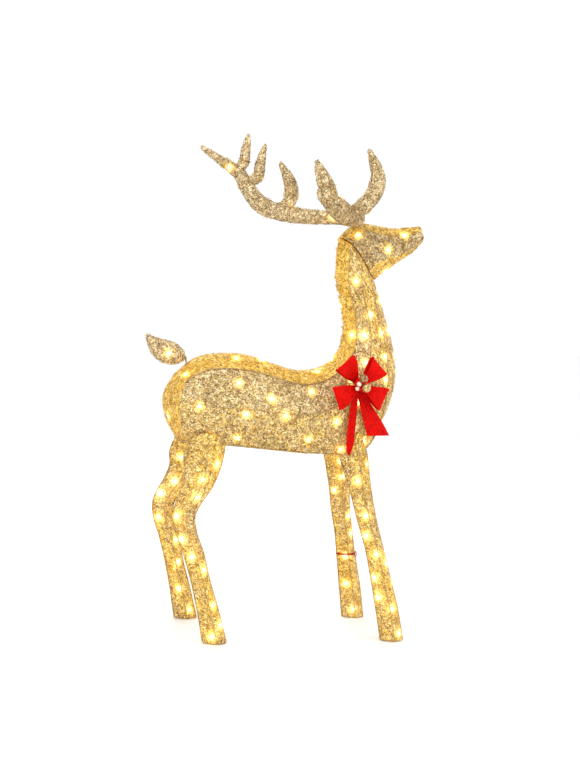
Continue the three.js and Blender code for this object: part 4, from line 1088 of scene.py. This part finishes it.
ANTLER_TUFTS = {
    "left": [(0, 0.3, 0.012), (0, 0.48, 0.012), (0, 0.66, 0.012), (0, 0.83, 0.012), (1, 0.4, 0.02),
             (2, 0.3, 0.03), (3, 0.3, 0.03)],
    "right": [(0, 0.35, 0.015), (0, 0.7, 0.015), (0, 0.9, 0.015), (1, 0.25, 0.015), (2, 0.4, 0.03)],
}
for k, side in enumerate(SIDES):
    surfaces = [branch.surface() for branch in antler_branches(side)]
    groups = [lamps_on(rng, surfaces[0], 3, low=(0.08, 0), high=(0.85, 1))]
    groups += [lamps_on(rng, s, 1, low=(0.1, 0), high=(0.5, 1)) for s in surfaces[1:2]]
    lamps = np.vstack([g[0] for g in groups])
    name = f"antler_{side}"
    dressed(name, surfaces, lamps, "antler", name, "skin_" + name, 30 + k,
            spots=ANTLER_TUFTS[side])
    light_string(name, groups, "lights_" + name, name)

tail = Surface(tail_make, closed=True, size=(46, 36), heart=tail_heart)
tail_places = np.array([[0.52, 0.27], [0.5, 0.74]])
tail_lamps = strung(tail, tail_places)
dressed("tail", [tail], tail_lamps[0], "antler", "tail", "skin_tail", 40)
light_string("tail", [tail_lamps], "lights_tail", "tail")

# ---- bow
# Its own frame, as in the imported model: x runs forward, y up, z out of the right shoulder.
BOW_PLACE = np.array([36, -21.6, 151])
BOW_TURN = 0.2
LOOP_REACH, RIBBON_WIDE = 18, 14
# Each pair of loops: the angle and the share of the full reach of each, and the height of the pair.
LOOPS = {"bow_loops_back": ([(131, 0.95), (-24, 1.12)], 1.9),
         "bow_loops_front": ([(48, 0.93), (205, 1.06)], 5)}
PLEATS = 5


def from_bow(points):
    x, y, z = np.moveaxis(np.asarray(points, float), -1, 0)
    c, s = math.cos(BOW_TURN), math.sin(BOW_TURN)
    return np.stack([c * x + s * z, s * x - c * z, y], -1) + BOW_PLACE


def ribbon_grid(angle, profile, rows, columns, deep, phase, slant=0):
    """A pleated ribbon along a profile of reach, height and width, drawn in the plane of one direction."""
    turn = math.radians(angle)
    out = np.array([math.cos(turn), math.sin(turn), 0])
    side = np.array([-math.sin(turn), math.cos(turn), 0])
    t = np.linspace(0, 1, rows)
    run = Curve(profile).at(t)
    s = np.linspace(-1, 1, columns)
    along = np.gradient(run[:, :2], axis=0)
    along /= np.maximum(np.linalg.norm(along, axis=1, keepdims=True), 1e-9)
    face = np.stack([-along[:, 1], along[:, 0]], 1)
    width = run[:, 2]
    gather = deep * np.clip(1.15 - width / RIBBON_WIDE, 0.1, 1)
    fold = np.cos(PLEATS * math.pi * s[None] + phase) * gather[:, None] * (1 - 0.3 * s[None] ** 2)
    sag = -0.35 * s[None] ** 2 * (width / RIBBON_WIDE)[:, None]
    offset = fold + sag
    reach = run[:, 0][:, None] + face[:, 0][:, None] * offset
    reach = reach + slant * s[None] * (t ** 4)[:, None]
    height = run[:, 1][:, None] + face[:, 1][:, None] * offset
    wide = s[None] * width[:, None] / 2
    p = out * reach[..., None] + side * wide[..., None] + np.array([0, 0, 1]) * height[..., None]
    return p.reshape(-1, 3), grid_faces(rows, columns)


def loop_profile(share, layer):
    r, w = LOOP_REACH * share, RIBBON_WIDE
    return [
        [0.5, layer, 2.4], [0.2 * r, layer, 3.2], [0.5 * r, layer - 0.2, 0.6 * w],
        [0.85 * r, layer + 0.2, 0.9 * w],
        [0.97 * r, layer + 0.9, w], [r, layer + 2, w], [0.94 * r, layer + 3.1, w],
        [0.75 * r, layer + 3.5, 0.86 * w], [0.45 * r, layer + 2.9, 0.52 * w], [0.2 * r, layer + 1.9, 3.2],
        [0.5, layer + 1.5, 2.4],
    ]


def ribbon_piece(name, grids, cad_node):
    parts = Parts()
    for points, faces in grids:
        parts.add(from_bow(points), faces)
    made = parts.made(name, RIBBON)
    belongs(made, "deer", cad_node)
    thicken(made, 0.0003, 0)


RIBBON = ribbon_material("red_ribbon", (0.36, 0.001, 0.0005), (0.86, 0.004, 0.001))
for k, (name, (loops, layer)) in enumerate(LOOPS.items()):
    grids = [ribbon_grid(angle, loop_profile(share, layer), 90, 41, 0.55, 0.8 * k + j)
             for j, (angle, share) in enumerate(loops)]
    ribbon_piece("ribbon_" + name, grids, name)
left_tail = [[0.5, 0.5, 2.6], [5, 0.7, 4], [25, 1.1, 5.4], [36, 1.4, 5], [40, 1.4, 2.6], [42, 1.3, 0.5]]
right_tail = [[0.5, 0.4, 2.6], [5, 0.6, 4], [20, 1.1, 9.6], [30, 1.4, 12.8], [35, 1.5, 14]]
tails = [ribbon_grid(267, left_tail, 60, 21, 0.25, 0.4), ribbon_grid(301, right_tail, 60, 31, 0.4, 2.2, 4)]
ribbon_piece("ribbon_bow_tails", tails, "bow_tails")

# The knot: a patch of ribbon gathered over the middle.
KNOT_PLACE, KNOT_SIZE = np.array([-1.4, 0.8, 7.9]), np.array([4.6, 3.9, 2.0])
a, b = np.meshgrid(np.linspace(-1, 1, 41), np.linspace(-1, 1, 31), indexing="ij")
disc = np.stack([a * np.sqrt(1 - b ** 2 / 2), b * np.sqrt(1 - a ** 2 / 2)], -1)
far = np.minimum(np.linalg.norm(disc, axis=-1), 1)
dome = np.sqrt(np.maximum(1 - far ** 2, 0)) + 0.09 * np.sin(9 * b + 2 * a) * (1 - far ** 4)
knot_points = np.stack([disc[..., 0], disc[..., 1], dome], -1) * KNOT_SIZE + KNOT_PLACE
ribbon_piece("ribbon_bow_knot", [(knot_points.reshape(-1, 3), grid_faces(41, 31))], "bow_knot")

# ---- beads and the thread on a front leg
BEADS = {
    "bead_gold": bead_material("gold_bead", (0.4, 0.24, 0.07), (0.8, 0.56, 0.24), 0.85, 0.14),
    "bead_bronze": bead_material("bronze_bead", (0.2, 0.1, 0.035), (0.5, 0.3, 0.13), 0.85, 0.18),
    "bead_pale": bead_material("pale_bead", (0.62, 0.5, 0.34), (0.84, 0.76, 0.62), 0.15, 0.2),
}
BEADS["bead_small"] = BEADS["bead_pale"]
KNOT_TOP = from_bow(KNOT_PLACE + [0, 0, 1])
ball, ball_faces = sphere_mesh(32, 20)
for name, material in BEADS.items():
    low, high = (np.array(corner) * 1000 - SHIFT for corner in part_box(name))
    middle, radius = (low + high) / 2, (high - low).max() / 2
    parts = Parts().add(middle + ball * radius, ball_faces)
    stem = np.linspace(0, 1, 12)[:, None]
    parts.add(*line_tube(middle + (KNOT_TOP - middle) * stem, 0.22, 6))
    belongs(parts.made("round_" + name, material), "deer", name)

THREAD_LEVEL = 42
leg = leg_sheets["front", "left"]
turns = np.linspace(0, 2.15, 120)
share = 0.96 * (1 - THREAD_LEVEL / LEG_SECTIONS["front"][0, 0])
drift = 0.0035 * turns + 0.002 * np.sin(5 * turns)
p, _, _, n = leg.frame(share + drift, turns % 1)
thread = Parts().add(*line_tube(p + n * 0.45, 0.3, 6))
ends = [p[0] + n[0] * 0.5, p[-1] + n[-1] * 0.5]
for k, end in enumerate(ends):
    fall = np.array([[0, 0, 0], [0.6, 0.3, 0.4], [1.2, 0.5, -1.4], [1 + k, 0.8, -3.8 - k]])
    thread.add(*line_tube(Curve(end + fall).at(np.linspace(0, 1, 16)), 0.26, 6))
cord = thread.made("wound_thread", ribbon_material("red_thread", (0.25, 0.006, 0.008), (0.6, 0.03, 0.02)))
belongs(cord, "leg_front_left", "thread_front_left")

# ---- other materials, on the CAD's own pieces
FINISHES = {
    "frame_wire": WIRE,
    "tie_wire": WIRE,
    "case_plastic": plastic_material("case_plastic", (0.14, 0.09, 0.04), (0.2, 0.14, 0.07), 0.4),
    "switch_plastic": plastic_material("switch_plastic", (0.015, 0.015, 0.015), (0.03, 0.03, 0.03), 0.35),
    "cell_jacket": cloudy_material(
        "cell_jacket", 500, [(0.3, (0.03, 0.16, 0.07)), (0.7, (0.05, 0.24, 0.11))], (0.2, 0.2),
        metallic=0.3),
    "contact_steel": cloudy_material(
        "contact_steel", 1200, [(0.3, (0.55, 0.56, 0.58)), (0.7, (0.82, 0.83, 0.85))], (0.18, 0.25),
        metallic=1.0),
}
for part in frame["record"]["subparts"]:
    shown = frame["nodes"][part["node"]]
    if not shown.hide_render and part["material_slot"] in FINISHES:
        shown.data.materials.clear()
        shown.data.materials.append(FINISHES[part["material_slot"]])
        bevel = shown.modifiers.new("bevel", "BEVEL")
        bevel.width = 0.00025
        bevel.segments = 2

# ---- floor, light and camera
floor_mesh = bpy.data.meshes.new("floor")
FLOOR = 6              # half width of the floor, in metres
corners = [(FLOOR * x, FLOOR * y, 0) for x, y in ((-1, -1), (1, -1), (1, 1), (-1, 1))]
floor_mesh.from_pydata(corners, [], [(0, 1, 2, 3)])
floor = bpy.data.objects.new("floor", floor_mesh)
floor.location.z = -0.0002
bpy.context.scene.collection.objects.link(floor)
floor_material, _, floor_shader = new_material("floor")
floor_shader.inputs["Base Color"].default_value = (0.95, 0.95, 0.95, 1)
floor_shader.inputs["Roughness"].default_value = 0.7
floor_mesh.materials.append(floor_material)
floor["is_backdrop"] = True

scene = bpy.context.scene
world = bpy.data.worlds.new("studio")
world.use_nodes = True
world.node_tree.nodes["Background"].inputs[0].default_value = (1, 1, 1, 1)
world.node_tree.nodes["Background"].inputs[1].default_value = 1.05
scene.world = world
scene.view_settings.view_transform = "Standard"


def soft_light(name, location, aim, size, power, colour=(1, 1, 1)):
    lamp = bpy.data.lights.new(name, "AREA")
    lamp.shape = "DISK"
    lamp.size = size
    lamp.energy = power
    lamp.color = colour
    made = bpy.data.objects.new(name, lamp)
    made.location = location
    made.rotation_euler = (Vector(aim) - Vector(location)).to_track_quat("-Z", "Y").to_euler()
    bpy.context.scene.collection.objects.link(made)


AIM = [2.5, 0, 150]    # the camera looks here, in millimetres about the middle plane
MIDDLE = (0, 0, 0.15)
soft_light("key", (-0.5, -0.9, 0.9), MIDDLE, 0.6, 3.5)
soft_light("fill", (0.9, -0.6, 0.5), MIDDLE, 0.8, 1.5)
soft_light("back", (0.1, 0.9, 0.8), MIDDLE, 0.6, 2.5)

# Degrees, metres from the aim, millimetres of lens, and the picture's shift as a share of its height.
VIEW = {"azimuth": -20, "elevation": 3.3, "distance": 0.87, "roll": 4.0, "lens": 66.9, "shift": -0.01403}
camera_data = bpy.data.cameras.new("camera")
camera_data.lens = VIEW["lens"]
camera_data.sensor_width = 36
camera_data.shift_y = VIEW["shift"]
camera_data.clip_start, camera_data.clip_end = 0.01, 50
camera = bpy.data.objects.new("camera", camera_data)
turn, rise = math.radians(VIEW["azimuth"]), math.radians(VIEW["elevation"])
away = Vector((math.sin(turn) * math.cos(rise), -math.cos(turn) * math.cos(rise), math.sin(rise)))
aim = Vector(place(AIM))
camera.location = aim + away * VIEW["distance"]
look = (-away).to_track_quat("-Z", "Y")
roll = look.to_matrix() @ Vector((0, 0, 1))
camera.rotation_mode = "QUATERNION"
camera.rotation_quaternion = Quaternion(roll, math.radians(VIEW["roll"])) @ look
scene.collection.objects.link(camera)
scene.camera = camera

low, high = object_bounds()
